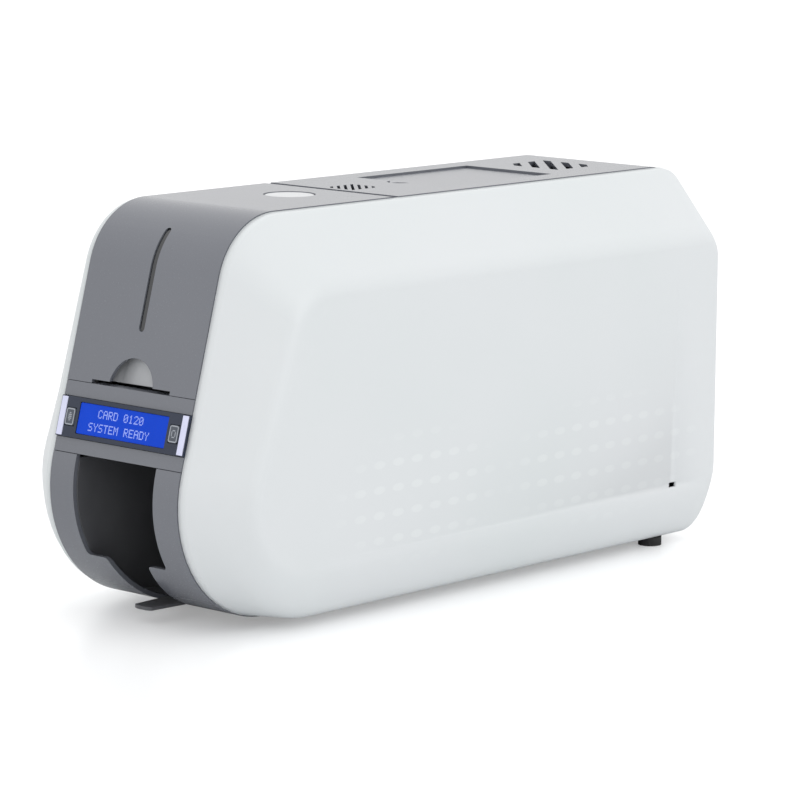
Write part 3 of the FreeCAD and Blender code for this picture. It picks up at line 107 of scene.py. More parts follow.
def speckle(tree, place, look):
    # slow drift of tone over the part, and the fine grain of the mould, both from real millimetres
    drift = addNode(tree, "TexNoise", inputs={"Vector": place, "Scale": 1/(look["driftMm"]*mm),
                                              "Detail": noise["driftDetail"]})
    grain = addNode(tree, "TexNoise", inputs={"Vector": place, "Scale": 1/(look["grainMm"]*mm),
                                              "Detail": noise["grainDetail"]})
    tone = addNode(tree, "ValToRGB", inputs={"Fac": drift.outputs["Fac"]})
    tone.color_ramp.elements[0].position = noise["darkEnd"]
    tone.color_ramp.elements[1].position = noise["paleEnd"]
    tone.color_ramp.elements[0].color = linearColour(look["dark"])
    tone.color_ramp.elements[1].color = linearColour(look["colour"])
    relief = addNode(tree, "Bump", inputs={"Strength": look["relief"], "Distance": look["reliefMm"]*mm,
                                           "Height": grain.outputs["Fac"]})
    low, high = look["roughness"]
    rough = addNode(tree, "MapRange", inputs={"Value": grain.outputs["Fac"], "To Min": low, "To Max": high})
    return tone.outputs["Color"], relief.outputs["Normal"], rough.outputs["Result"]


def finishMaterial(tree, colour, normal, rough, look):
    look = {**plainLook, **look}
    shader = addNode(tree, "BsdfPrincipled", inputs={
        "Base Color": colour, "Normal": normal, "Roughness": rough,
        "Metallic": look["metallic"], "IOR": look["ior"],
        "Coat Weight": look["coat"], "Coat Roughness": look["coatRoughness"],
        "Specular IOR Level": look["specular"], "Emission Strength": look["glow"]})
    if look["glow"]:
        shader.inputs["Emission Color"].default_value = linearColour(look["colour"])
    addNode(tree, "OutputMaterial", inputs={"Surface": shader.outputs["BSDF"]})


def mouldedMaterial(name, look):
    material, tree = startMaterial(name)
    place = addNode(tree, "TexCoord").outputs["Object"]
    colour, normal, rough = speckle(tree, place, look)
    finishMaterial(tree, colour, normal, rough, look)
    return material


def brushedMaterial(name, look):
    # the strokes of a brush or a rolling mill run along one axis, so the noise is drawn out along it
    material, tree = startMaterial(name)
    place = addNode(tree, "TexCoord").outputs["Object"]
    drawn = addNode(tree, "Mapping", inputs={"Vector": place, "Scale": look["stretch"]})
    colour, normal, rough = speckle(tree, drawn.outputs["Vector"], look)
    finishMaterial(tree, colour, normal, rough, look)
    return material


def ovalShare(tree, offsets, outer, inner):
    # 1 in the middle of an oval and 0 outside it, from each axis's distance and half width
    squares = []
    for off, half in offsets:
        ratio = addNode(tree, "Math", {"operation": "DIVIDE"}, {0: off, 1: half*mm}).outputs[0]
        square = addNode(tree, "Math", {"operation": "MULTIPLY"}, {0: ratio, 1: ratio})
        squares.append(square.outputs[0])
    away = addNode(tree, "Math", {"operation": "ADD"}, {0: squares[0], 1: squares[1]})
    share = addNode(tree, "MapRange", inputs={"Value": away.outputs[0], "From Min": outer, "From Max": inner})
    return share.outputs[0]


def dottedShellMaterial(name, look):
    # two fields of faint pale round dots lie on the white panels and fade towards their edges: painted light
    # that stands in for the lit sides of shallow dimples
    material, tree = startMaterial(name)
    place = addNode(tree, "TexCoord").outputs["Object"]
    colour, normal, rough = speckle(tree, place, look)
    axes = addNode(tree, "SeparateXYZ", inputs={"Vector": place})
    offsets = []
    for axis, origin, pitch, half in look["dotGrid"]:
        off = addNode(tree, "Math", {"operation": "SUBTRACT"}, {0: axes.outputs[axis], 1: origin*mm})
        away = addNode(tree, "Math", {"operation": "PINGPONG"}, {0: off.outputs[0], 1: pitch/2*mm})
        offsets.append((away.outputs[0], half))
    dots = ovalShare(tree, offsets, *look["dotEdge"])
    fields = []
    for field in look["fields"]:
        offsets = []
        for axis, centre, half in field:
            off = addNode(tree, "Math", {"operation": "SUBTRACT"}, {0: axes.outputs[axis], 1: centre*mm})
            offsets.append((off.outputs[0], half))
        fields.append(ovalShare(tree, offsets, *look["fieldEdge"]))
    both = addNode(tree, "Math", {"operation": "MAXIMUM"}, {0: fields[0], 1: fields[1]})
    strength = addNode(tree, "Math", {"operation": "MULTIPLY"}, {0: dots, 1: both.outputs[0]})
    shown = addNode(tree, "Math", {"operation": "MULTIPLY"}, {0: strength.outputs[0], 1: look["dotStrength"]})
    mixed = addNode(tree, "Mix", {"data_type": "RGBA"}, {"Factor": shown.outputs[0], "A": colour,
                                                         "B": linearColour(look["dotPaintedLight"])})
    finishMaterial(tree, mixed.outputs["Result"], normal, rough, look)
    return material


def windingMaterial(name, look):
    # film wound on a spool: its edges show as fine rings across the winding
    material, tree = startMaterial(name)
    place = addNode(tree, "TexCoord").outputs["Object"]
    colour, _, rough = speckle(tree, place, look)
    bands = addNode(tree, "TexWave", {"bands_direction": "X"},
                    {"Vector": place, "Scale": 1/(look["bandMm"]*mm*look["bandTurn"]),
                     "Distortion": look["bandBend"]})
    relief = addNode(tree, "Bump", inputs={"Strength": look["relief"], "Distance": look["reliefMm"]*mm,
                                           "Height": bands.outputs["Fac"]})
    finishMaterial(tree, colour, relief.outputs["Normal"], rough, look)
    return material


whiteLook = {  # white ABS, moulded smooth and left bare: pale, with a broad soft shine
    "colour": "#E5E8EA", "dark": "#E1E6E7", "driftMm": 160, "grainMm": 0.7, "relief": 0.08, "reliefMm": 0.05,
    "roughness": (0.30, 0.38), "ior": 1.5,
    "dotGrid": (("Y", -101.0, 14.6, 4.3), ("Z", 81.3, 13.4, 2.1)),  # axis, first dot, pitch, half width
    # the pale dots are painted light, for the lit sides of shallow dimples in the shell
    "dotEdge": (1.3, 0.7), "dotStrength": 0.3, "dotPaintedLight": "#F2F6F6",
    "fields": ((("Y", -55, 68), ("Z", 62, 38)), (("Y", 100, 92), ("Z", 62, 38))),  # axis, middle, half width
    "fieldEdge": (1.0, 0.35),
}
greyLook = {  # grey ABS from a finely eroded mould: flat colour, and a silky sheen when seen along it
    "colour": "#72757D", "dark": "#6E7179", "driftMm": 120, "grainMm": 0.55, "relief": 0.15, "reliefMm": 0.05,
    "roughness": (0.22, 0.3), "ior": 1.6, "coat": 0.3, "coatRoughness": 0.2,
}
trayPaintedLightLook = {  # black ABS of the output bin, made paler than the other black parts: painted light standing in for the light that fills the shaded bin
    "colour": "#626366", "dark": "#55565A", "driftMm": 40, "grainMm": 0.8, "relief": 0.3, "reliefMm": 0.06,
    "roughness": (0.34, 0.46), "ior": 1.5,
}
darkLook = {  # black ABS: deep grey with a dull sheen, from a coarser mould
    "colour": "#2B2C2F", "dark": "#232427", "driftMm": 60, "grainMm": 0.8, "relief": 0.3, "reliefMm": 0.06,
    "roughness": (0.42, 0.56), "ior": 1.5,
}
slateLook = {  # tinted acrylic over the display: dark blue-grey and glossy
    "colour": "#333A4B", "dark": "#2F3647", "driftMm": 40, "grainMm": 1.2, "relief": 0.03, "reliefMm": 0.02,
    "roughness": (0.22, 0.3), "ior": 1.49, "specular": 0.35,
}
lcdLook = {  # the display's backlit film behind glass: saturated blue that glows a little by itself
    "colour": "#003EC0", "dark": "#003AB8", "driftMm": 18, "grainMm": 0.9, "relief": 0.02, "reliefMm": 0.02,
    "roughness": (0.3, 0.36), "specular": 0.15, "glow": 0.3,
}
characterLook = {  # the lit dots of the characters: pale lavender
    "colour": "#95A8EF", "dark": "#8EA2EB", "driftMm": 6, "grainMm": 0.6, "relief": 0.02, "reliefMm": 0.01,
    "roughness": (0.3, 0.4), "glow": 0.3,
}
barLook = {  # frosted polycarbonate light pipes: milky, with a cold light in them
    "colour": "#DDDFF7", "dark": "#D3D6F0", "driftMm": 9, "grainMm": 0.5, "relief": 0.1, "reliefMm": 0.03,
    "roughness": (0.35, 0.45), "ior": 1.58, "glow": 0.12,
}
buttonLook = {  # soft-touch keycaps in the tone of the panel
    "colour": "#545A64", "dark": "#4D535D", "driftMm": 7, "grainMm": 0.4, "relief": 0.3, "reliefMm": 0.04,
    "roughness": (0.45, 0.55),
}
iconLook = {  # screen-printed pale ink
    "colour": "#AEB3BB", "dark": "#A6ABB4", "driftMm": 3, "grainMm": 0.3, "relief": 0.1, "reliefMm": 0.01,
    "roughness": (0.5, 0.6),
}
smokedLook = {  # smoked polycarbonate over the status light: almost black and glossy
    "colour": "#26282C", "dark": "#1F2124", "driftMm": 12, "grainMm": 1.0, "relief": 0.02, "reliefMm": 0.02,
    "roughness": (0.14, 0.2), "ior": 1.58, "coat": 0.4,
}
whiteKeyLook = {  # white ABS of the release button, polished by fingers
    "colour": "#DEE0E2", "dark": "#D7D9DC", "driftMm": 12, "grainMm": 0.6, "relief": 0.1, "reliefMm": 0.04,
    "roughness": (0.2, 0.28),
}
paleLook = {  # light grey ABS of the card guide
    "colour": "#B6B8BB", "dark": "#ADAFB2", "driftMm": 20, "grainMm": 0.5, "relief": 0.2, "reliefMm": 0.05,
    "roughness": (0.3, 0.4),
}
rubberLook = {  # moulded nitrile rubber: black, dusty and matt
    "colour": "#2A2A2B", "dark": "#202021", "driftMm": 10, "grainMm": 0.9, "relief": 0.5, "reliefMm": 0.08,
    "roughness": (0.7, 0.85),
}
rollerLook = {  # ground silicone rubber of the rollers: dark grey with a fine ground skin
    "colour": "#3D3E42", "dark": "#36373B", "driftMm": 14, "grainMm": 0.5, "relief": 0.4, "reliefMm": 0.05,
    "roughness": (0.6, 0.72),
}
acetalLook = {  # natural acetal of the gears: milky ivory, waxy
    "colour": "#E2DECF", "dark": "#D9D5C5", "driftMm": 9, "grainMm": 0.7, "relief": 0.12, "reliefMm": 0.03,
    "roughness": (0.3, 0.4), "ior": 1.48,
}
steelLook = {  # zinc-plated sheet steel, cold rolled: fine strokes along the sheet
    "colour": "#B9BBBD", "dark": "#A3A6A9", "driftMm": 25, "grainMm": 1.6, "relief": 0.15, "reliefMm": 0.02,
    "roughness": (0.28, 0.42), "metallic": 1.0, "stretch": (1.0, 0.06, 1.0),
}
motorLook = {  # drawn steel can of the motor, turned bright round its axis
    "colour": "#8E9194", "dark": "#7F8285", "driftMm": 25, "grainMm": 1.2, "relief": 0.15, "reliefMm": 0.02,
    "roughness": (0.3, 0.4), "metallic": 1.0, "stretch": (1.0, 0.2, 0.2),
}
aluminiumLook = {  # extruded aluminium of the head's heat sink, as drawn through the die
    "colour": "#C9CBCD", "dark": "#BBBEC1", "driftMm": 18, "grainMm": 0.9, "relief": 0.2, "reliefMm": 0.02,
    "roughness": (0.3, 0.42), "metallic": 1.0, "stretch": (0.05, 1.0, 1.0),
}
boardLook = {  # green solder mask on a glass-fibre board
    "colour": "#1E5B35", "dark": "#194E2D", "driftMm": 12, "grainMm": 0.8, "relief": 0.2, "reliefMm": 0.03,
    "roughness": (0.3, 0.4), "coat": 0.3,
}
filmLook = {  # polyester dye film: thin, dark plum and shiny
    "colour": "#3A2440", "dark": "#302036", "driftMm": 30, "grainMm": 2.0, "relief": 0.1, "reliefMm": 0.03,
    "roughness": (0.16, 0.24), "ior": 1.6,
    "bandMm": 0.8, "bandTurn": 6.28, "bandBend": 0.4,  # pitch of the rings, radians in a turn, their waver
}
whiteShell = dottedShellMaterial("whiteMouldedAbs", whiteLook)
greyAbs = mouldedMaterial("greyErodedAbs", greyLook)
blackAbs = mouldedMaterial("blackMouldedAbs", darkLook)
# the bin's black ABS is painted paler, as painted light in its shaded hollow
trayPaintedLightAbs = mouldedMaterial("blackTrayAbsPaintedLight", trayPaintedLightLook)
slateAcrylic = mouldedMaterial("tintedAcrylic", slateLook)
blueDisplay = mouldedMaterial("backlitDisplayFilm", lcdLook)
litDots = mouldedMaterial("litDisplayDots", characterLook)
frostedPipe = mouldedMaterial("frostedPolycarbonate", barLook)
keycapPlastic = mouldedMaterial("softTouchKeycap", buttonLook)
printedInk = mouldedMaterial("screenPrintedInk", iconLook)
smokedLens = mouldedMaterial("smokedPolycarbonate", smokedLook)
paleAbs = mouldedMaterial("paleGreyAbs", paleLook)
whiteKeyAbs = mouldedMaterial("polishedWhiteAbs", whiteKeyLook)
footRubber = mouldedMaterial("nitrileRubber", rubberLook)
rollerRubber = mouldedMaterial("groundSiliconeRubber", rollerLook)
gearAcetal = mouldedMaterial("naturalAcetal", acetalLook)
zincSteel = brushedMaterial("zincPlatedSteel", steelLook)
motorSteel = brushedMaterial("turnedMotorSteel", motorLook)
headAluminium = brushedMaterial("extrudedAluminium", aluminiumLook)
greenBoard = mouldedMaterial("solderMaskBoard", boardLook)
ribbonFilm = mouldedMaterial("polyesterFilm", filmLook)
ribbonWinding = windingMaterial("woundPolyesterFilm", filmLook)
print("materials made")

nodeFinish = {
    blackAbs: ("base_pan", "input_hopper", "ribbon_cassette_frame", "fan_frame", "fan_rotor", "power_rocker",
               "power_switch_housing", "power_inlet", "card_weight", "print_head_bracket"),
    footRubber: ("feet",),
    rollerRubber: ("exit_roller", "platen_roller", "feed_roller", "entry_roller", "pick_roller",
                   "exit_pinch_roller", "feed_pinch_roller"),
    gearAcetal: ("idler_gear_1", "idler_gear_2", "idler_gear_3", "idler_gear_4", "motor_pinion"),
    zincSteel: ("chassis_plate_left", "chassis_plate_right", "cross_bars", "cover_hinge_pins", "idler_studs",
                "lid_hinge_pin", "case_screws", "board_standoffs", "usb_port", "ethernet_port"),
    motorSteel: ("drive_motor",),
    headAluminium: ("print_head",),
    greenBoard: ("circuit_board",),
    ribbonFilm: ("ribbon_film",),
    ribbonWinding: ("ribbon_supply_spool", "ribbon_take_up_spool"),
}


def dressNode(name, material):
    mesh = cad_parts[name].data
    mesh.materials.clear()
    mesh.materials.append(material)


for material, names in nodeFinish.items():
    for name in names:
        dressNode(name, material)


edgeFinish = {"smoothAngle": 32, "bevelAngle": 28, "bevelSegments": 2}


def finishPiece(bm, name, material, body, replaced=()):
    mesh = bpy.data.meshes.new(name)
    bm.to_mesh(mesh)
    bm.free()
    mesh.materials.append(material)
    mesh.polygons.foreach_set("use_smooth", [True]*len(mesh.polygons))
    mesh.set_sharp_from_angle(angle=math.radians(edgeFinish["smoothAngle"]))
    piece = bpy.data.objects.new(name, mesh)
    bpy.context.scene.collection.objects.link(piece)
    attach(piece, body)
    if replaced:
        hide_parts(*replaced)
    return piece


def softenEdges(piece, widthMm):
    rounded = piece.modifiers.new("roundedEdges", "BEVEL")
    rounded.width = widthMm*mm
    rounded.segments = edgeFinish["bevelSegments"]
    rounded.limit_method = "ANGLE"
    rounded.angle_limit = math.radians(edgeFinish["bevelAngle"])
    rounded.harden_normals = True
    rounded.use_clamp_overlap = True


def cutAcross(bm, point, normal, geom=None):
    # divides the whole mesh, or the part that is given, along a plane
    if geom is None:
        geom = bm.verts[:] + bm.edges[:] + bm.faces[:]
    bmesh.ops.bisect_plane(bm, geom=geom, dist=hair, plane_co=point, plane_no=normal)


def flatSheet(bm, wide, tall):
    verts = bmesh.ops.create_grid(bm, x_segments=1, y_segments=1, size=0.5)["verts"]
    bmesh.ops.scale(bm, vec=(wide*mm, tall*mm, 1), verts=verts)
    return verts


shell = {
    "lean": 15.35, "bandHalf": 47.0, "foot": 5.0, "height": 215.0, "rear": 202.0,
    "frontTop": 41.0, "frontLow": 64.0, "rearTop": 21.0, "rearLow": 12.0,
    "rearTopTight": 10.0, "greyRearTop": 26.0, "rearCuts": 8,
    "landX": 51.0, "landDrop": 1.2, "rimDrop": 0.5, "middleX": 70.0, "panelX": 79.0,
    "panelTop": 177.5, "panelBottom": 28.5, "panelFrontInset": 34.0, "panelLean": 20.8, "panelRear": 201.0,
    "panelRadii": (42.0, 28.0, 14.0, 20.0), "steps": 18, "creaseSteps": 5, "wall": 2.5,
    "panelSoft": 5.0, "outerSoft": 0.45, "middleSoft": 0.3, "rimSoft": 0.25, "landSoft": 0.03,
    "slotY": 160.2, "slotZ": 37.7, "slotLong": 6.5, "slotTall": 3.0, "flatWithin": 0.001,
}


def bandCorners(inset):
    lean = math.radians(shell["lean"])
    centreY, centreZ = shell["frontLow"] - shell["rear"], shell["foot"] + shell["frontLow"]
    foot = centreY - (centreZ*math.sin(lean) + shell["frontLow"])/math.cos(lean)
    low, top, rear = shell["foot"] + inset, shell["height"] - inset, shell["rear"] - inset
    front = [foot + z*math.tan(lean) + inset/math.cos(lean) for z in (low, top)]
    return [(front[0], low, shell["frontLow"] - inset), (front[1], top, shell["frontTop"] - inset),
            (rear, top, shell["rearTop"] - inset), (rear, low, shell["rearLow"] - inset)]


slopeFoot = bandCorners(0)[0][0] - shell["foot"]*math.tan(math.radians(shell["lean"]))


def onSlope(x, along, depth):
    # a point by its distance up the sloping front and its depth behind it
    lean = math.radians(shell["lean"])
    y = slopeFoot + along*math.sin(lean) + depth*math.cos(lean)
    return Vector((x, y, along*math.cos(lean) - depth*math.sin(lean)))*mm


def slopeTurn():
    return Matrix.Rotation(math.radians(90 - shell["lean"]), 3, "X")


module = {
    "proud": 1.5, "half": 46.7, "low": 99.2, "high": 120.4, "front": 0.4, "back": 2.3, "middle": 109.8,
    "windowHalf": 32.5, "windowLow": 101.6, "windowHigh": 118.2,
    "keyX": 38.0, "keyHalf": 3.5, "keyTallHalf": 4.8, "plateEdge": 0.15,
    "barNear": 42.2, "barFar": 46.3, "barGap": 0.15, "barFront": 0.1,
    "pocketEnd": 0.3, "barEnd": 0.45, "barEdge": 0.3,
}


def standProud(bm):
    # the display module stands out of the sloping front, as its dark side shows in the photograph
    shift = onSlope(0, 0, -module["proud"]) - onSlope(0, 0, 0)
    bmesh.ops.translate(bm, verts=bm.verts[:], vec=shift)


def rearReach(angle):
    # from the middle of the wide corner arc out to the tighter corner that the solid has
    wide, tight = shell["greyRearTop"], shell["rearTopTight"]
    flat = wide - tight
    low, high = sorted((math.cos(angle), math.sin(angle)))
    if low*wide <= high*flat:
        return wide/high
    along = flat*(low + high)
    return along + math.sqrt(along*along - 2*flat*flat + tight*tight)


def roundRear(bm):
    # the rear top edge is drawn in along rays to a wide arc, which lies a little inside the white covers
    centreY, centreZ = shell["rear"] - shell["greyRearTop"], shell["height"] - shell["greyRearTop"]
    for i in range(shell["rearCuts"]):
        step = shell["greyRearTop"]*i/shell["rearCuts"]
        cutAcross(bm, Vector((0, centreY + step, 0))*mm, (0, 1, 0))
        cutAcross(bm, Vector((0, 0, centreZ + step))*mm, (0, 0, 1))
    for vert in bm.verts:
        y, z = vert.co.y/mm - centreY, vert.co.z/mm - centreZ
        if y > 0 and z > 0:
            share = shell["greyRearTop"]/rearReach(math.atan2(z, y))
            vert.co.y = (centreY + y*share)*mm
            vert.co.z = (centreZ + z*share)*mm


tongue = {"stretch": 1.9, "front": -160, "high": 12}


def broadTongue(bm):
    # the lip of the tray under the thumb notch is a broad flap
    for vert in bm.verts:
        if vert.co.y < tongue["front"]*mm and vert.co.z < tongue["high"]*mm:
            vert.co.x *= tongue["stretch"]


slit = {"low": 150, "high": 206, "half": 2.1, "radius": 1.9, "segments": 5, "level": 0.9, "straight": 0.01}


def slitEnd(face):
    level = abs(face.normal.z) > slit["level"]
    inside = slit["low"]*mm < face.calc_center_median().z < slit["high"]*mm
    return level and inside and all(abs(v.co.x) < slit["half"]*mm for v in face.verts)


def roundSlitEnds(bm):
    # the narrow window of the status light ends in half circles
    edges = {e for f in bm.faces if slitEnd(f) for e in f.edges}
    corners = [e for e in edges if abs(e.verts[0].co.x - e.verts[1].co.x) < slit["straight"]*mm]
    bmesh.ops.bevel(bm, geom=corners, offset=slit["radius"]*mm, offset_type="OFFSET",
                    segments=slit["segments"], profile=0.5, affect="EDGES", material=-1)


release = {"stretch": 1.5, "reach": 11.6, "low": 206.0}


def broadKey(bm):
    # the release button and its hole are as broad as their highlight in the photograph
    low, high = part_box("cover_release_button")
    centreY = (low[1] + high[1])/2
    for vert in bm.verts:
        away = math.hypot(vert.co.x, vert.co.y - centreY)
        if vert.co.z > release["low"]*mm and away < release["reach"]*mm:
            vert.co.x *= release["stretch"]
            vert.co.y = centreY + (vert.co.y - centreY)*release["stretch"]


def shapeFrontCover(bm):
    roundSlitEnds(bm)
    broadKey(bm)


cleaning = {"weld": 0.002, "flatAngle": 0.4}


def softCopy(node, name, material, body, slot, widthMm, change=None):
    # the CAD form with its corners broken as a mould leaves them
    bm = bmesh.new()
    bm.from_mesh(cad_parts[node].data)
    bmesh.ops.remove_doubles(bm, verts=bm.verts[:], dist=cleaning["weld"]*mm)
    bmesh.ops.dissolve_limit(bm, angle_limit=math.radians(cleaning["flatAngle"]), verts=bm.verts[:],
                             edges=bm.edges[:], use_dissolve_boundaries=False, delimit=set())
    if change:
        change(bm)
    piece = finishPiece(bm, name, material, body, (node,))
    softenEdges(piece, widthMm)
    weights = piece.modifiers.new("faceWeights", "WEIGHTED_NORMAL")
    weights.keep_sharp = True


# the node, the new piece's name, material, body and slot, the width of its edges, and a change of shape
softParts = [
    ("front_cover", "frontCover", greyAbs, "front_cover", "grey_cover", 0.5, shapeFrontCover),
    ("top_cover", "topCover", greyAbs, "chassis", "grey_cover", 0.25, roundRear),
    ("hopper_lid", "hopperLid", greyAbs, "hopper_lid", "grey_cover", 0.4),
    ("display_frame", "displayFrame", greyAbs, "chassis", "grey_cover", 0.4),
    ("output_bezel", "outputBezel", greyAbs, "chassis", "grey_cover", 0.6),
    ("rear_panel", "rearPanel", greyAbs, "chassis", "grey_cover", 0.4, roundRear),
    ("output_tray", "outputTray", trayPaintedLightAbs, "chassis", "dark_plastic", 0.4, broadTongue),
    ("status_light_guide", "statusLens", smokedLens, "front_cover", "smoked_lens", 0.15),
    ("cover_release_button", "releaseButton", whiteKeyAbs, "cover_release_button", "pale_plastic", 0.8,
     broadKey),
    ("display_lcd", "displayGlass", blueDisplay, "chassis", "lcd_blue", 0.1, standProud),
    ("button_left", "keycapLeft", keycapPlastic, "button_left", "button", 0.35, standProud),
    ("button_right", "keycapRight", keycapPlastic, "button_right", "button", 0.35, standProud),
]
for part in softParts:
    softCopy(*part)
print("grey covers made")


def panelOutline(low):
    top, rear, radii = shell["panelTop"], shell["panelRear"], shell["panelRadii"]
    topY = slopeFoot + top*math.tan(math.radians(shell["lean"])) + shell["panelFrontInset"]
    lowY = topY - (top - low)*math.tan(math.radians(shell["panelLean"]))
    return [(lowY, low, radii[0]), (topY, top, radii[1]), (rear, top, radii[2]), (rear, low, radii[3])]


def middleOutline():
    share = (shell["middleX"] - shell["landX"])/(shell["panelX"] - shell["landX"])
    land = bandCorners(shell["landDrop"])
    rings = [tuple(a + (b - a)*share for a, b in zip(one, two))
             for one, two in zip(land, panelOutline(shell["foot"]))]
    rings[0] = (rings[0][0], shell["foot"], land[0][2])
    rings[3] = (rings[3][0], shell["foot"], rings[3][2])
    return rings


def spunRing(bm, x, corners):
    # each corner's arc is spun round its centre, and straight edges join the arcs
    ends, edges = [], []
    points = [Vector((x, y, z))*mm for y, z, _ in corners]
    for i, (_, _, radius) in enumerate(corners):
        here = points[i]
        back = (points[i - 1] - here).normalized()
        ahead = (points[(i + 1) % len(points)] - here).normalized()
        half = back.angle(ahead)/2
        centre = here + (back + ahead).normalized()*radius*mm/math.sin(half)
        start = bm.verts.new(here + back*radius*mm/math.tan(half))
        spun = bmesh.ops.spin(bm, geom=[start], cent=centre, axis=(1, 0, 0), angle=2*half - math.pi,
                              steps=shell["steps"])
        last = [v for v in spun["geom_last"] if isinstance(v, bmesh.types.BMVert)][0]
        ends.append((start, last))
    for i, (_, last) in enumerate(ends):
        bm.edges.new((last, ends[(i + 1) % len(ends)][0]))
    loop, vert, edge = [ends[0][0]], ends[0][0], ends[0][0].link_edges[0]
    while True:
        edges.append(edge)
        vert = edge.other_vert(vert)
        if vert is loop[0]:
            break
        loop.append(vert)
        edge = [e for e in vert.link_edges if e is not edge][0]
    return loop, edges


def betweenRings(one, two, share):
    (x1, corners1), (x2, corners2) = one, two
    corners = [tuple(a + (b - a)*share for a, b in zip(p, q)) for p, q in zip(corners1, corners2)]
    return x1 + (x2 - x1)*share, corners


def softCrease(before, crease, after, shareBefore, shareAfter):
    # rings that turn from one ruled side into the next on a smooth curve
    start = betweenRings(crease, before, shareBefore)
    end = betweenRings(crease, after, shareAfter)
    count = shell["creaseSteps"]
    return [betweenRings(betweenRings(start, crease, i/count), betweenRings(crease, end, i/count), i/count)
            for i in range(count + 1)]


def shellRings():
    rim = (shell["bandHalf"], bandCorners(shell["rimDrop"]))
    land = (shell["landX"], bandCorners(shell["landDrop"]))
    middle = (shell["middleX"], middleOutline())
    panel = (shell["panelX"], panelOutline(shell["panelBottom"]))
    inset, outer = shell["panelSoft"], shell["outerSoft"]
    flat = [(y + (inset if i < 2 else -inset), z + (inset if i in (0, 3) else -inset), r - inset)
            for i, (y, z, r) in enumerate(panel[1])]
    rings = [rim] + softCrease(rim, land, middle, shell["rimSoft"], shell["landSoft"])
    rings += softCrease(land, middle, panel, shell["middleSoft"], outer)
    return rings + softCrease(middle, panel, (shell["panelX"], flat), outer, 1.0)


def flatFaces(bm):
    side, near = shell["panelX"]*mm, shell["flatWithin"]*mm
    return [f for f in bm.faces if all(abs(v.co.x - side) < near for v in f.verts)]


def openSlot(bm):
    # the lock slot goes through the flat side of the right cover
    slot = ((Vector((0, 1, 0)), shell["slotY"], shell["slotLong"]/2),
            (Vector((0, 0, 1)), shell["slotZ"], shell["slotTall"]/2))
    for normal, middle, half in slot:
        for place in (middle - half, middle + half):
            flat = flatFaces(bm)
            edges, verts = {e for f in flat for e in f.edges}, {v for f in flat for v in f.verts}
            cutAcross(bm, normal*place*mm, normal, flat + list(edges) + list(verts))
    hole = []
    for face in flatFaces(bm):
        centre = face.calc_center_median()
        if all(abs(centre.dot(normal) - middle*mm) < half*mm for normal, middle, half in slot):
            hole.append(face)
    bmesh.ops.delete(bm, geom=hole, context="FACES")


def sideShell(name, side, node):
    bm = bmesh.new()
    loops = [spunRing(bm, x, corners) for x, corners in shellRings()]
    for (_, near), (_, far) in zip(loops, loops[1:]):
        bmesh.ops.bridge_loops(bm, edges=near + far)
    bm.faces.new(loops[-1][0])
    if side > 0:
        openSlot(bm)
    else:
        bmesh.ops.scale(bm, vec=(-1, 1, 1), verts=bm.verts[:])
    bmesh.ops.recalc_face_normals(bm, faces=bm.faces[:])
    piece = finishPiece(bm, name, whiteShell, "chassis", (node,))
    wall = piece.modifiers.new("wall", "SOLIDIFY")
    wall.thickness = shell["wall"]*mm
    wall.offset = -1
    wall.use_even_offset = False


sideShell("rightSideShell", 1, "right_side_cover")
sideShell("leftSideShell", -1, "left_side_cover")
print("white shells made")


def slopeSheet(x0, x1, along0, along1):
    # a sheet in the plane of the sloping front, measured from the middle of the module
    bm = bmesh.new()
    verts = flatSheet(bm, x1 - x0, along1 - along0)
    centre = Vector(((x0 + x1)/2, (along0 + along1)/2 - module["middle"], 0))*mm
    bmesh.ops.translate(bm, verts=verts, vec=centre)
    return bm


def slopePlate(bm, name, material, replaced, depth, thickness, widthMm):
    # the flat sheet is laid on the slope and given its thickness behind it
    bmesh.ops.rotate(bm, verts=bm.verts[:], cent=(0, 0, 0), matrix=slopeTurn())
    bmesh.ops.translate(bm, verts=bm.verts[:], vec=onSlope(0, module["middle"], depth))
    outward = onSlope(0, 0, -1) - onSlope(0, 0, 0)
    if bm.faces[:][0].normal.dot(outward) < 0:
        bmesh.ops.reverse_faces(bm, faces=bm.faces[:])
    piece = finishPiece(bm, name, material, "chassis", (replaced,))
    wall = piece.modifiers.new("wall", "SOLIDIFY")
    wall.thickness = thickness*mm
    wall.offset = -1
    softenEdges(piece, widthMm)


def modulePlate():
    # the dark plate with its window, two key holes and two pockets for the light pipes
    bm = slopeSheet(-module["half"], module["half"], module["low"], module["high"])
    gap, middle = module["barGap"], module["middle"]
    key, tall = module["keyHalf"], module["keyTallHalf"]
    holes = [(-module["windowHalf"], module["windowHalf"], module["windowLow"], module["windowHigh"])]
    for side in (-1, 1):
        holes.append((side*module["keyX"] - key, side*module["keyX"] + key, middle - tall, middle + tall))
        ends = sorted((side*(module["barNear"] - gap), side*(module["barFar"] + gap)))
        low, high = module["low"] + module["pocketEnd"], module["high"] - module["pocketEnd"]
        holes.append((ends[0], ends[1], low, high))
    for x in sorted({end for hole in holes for end in hole[:2]}):
        cutAcross(bm, (x*mm, 0, 0), (1, 0, 0))
    for along in sorted({end for hole in holes for end in hole[2:]}):
        cutAcross(bm, (0, (along - middle)*mm, 0), (0, 1, 0))
    inside = []
    for face in bm.faces:
        centre = face.calc_center_median()/mm
        if any(x0 < centre.x < x1 and a0 < centre.y + middle < a1 for x0, x1, a0, a1 in holes):
            inside.append(face)
    bmesh.ops.delete(bm, geom=inside, context="FACES")
    front = module["front"] - module["proud"]
    slopePlate(bm, "displayPanel", slateAcrylic, "display_panel",
               front, module["back"] - front, module["plateEdge"])


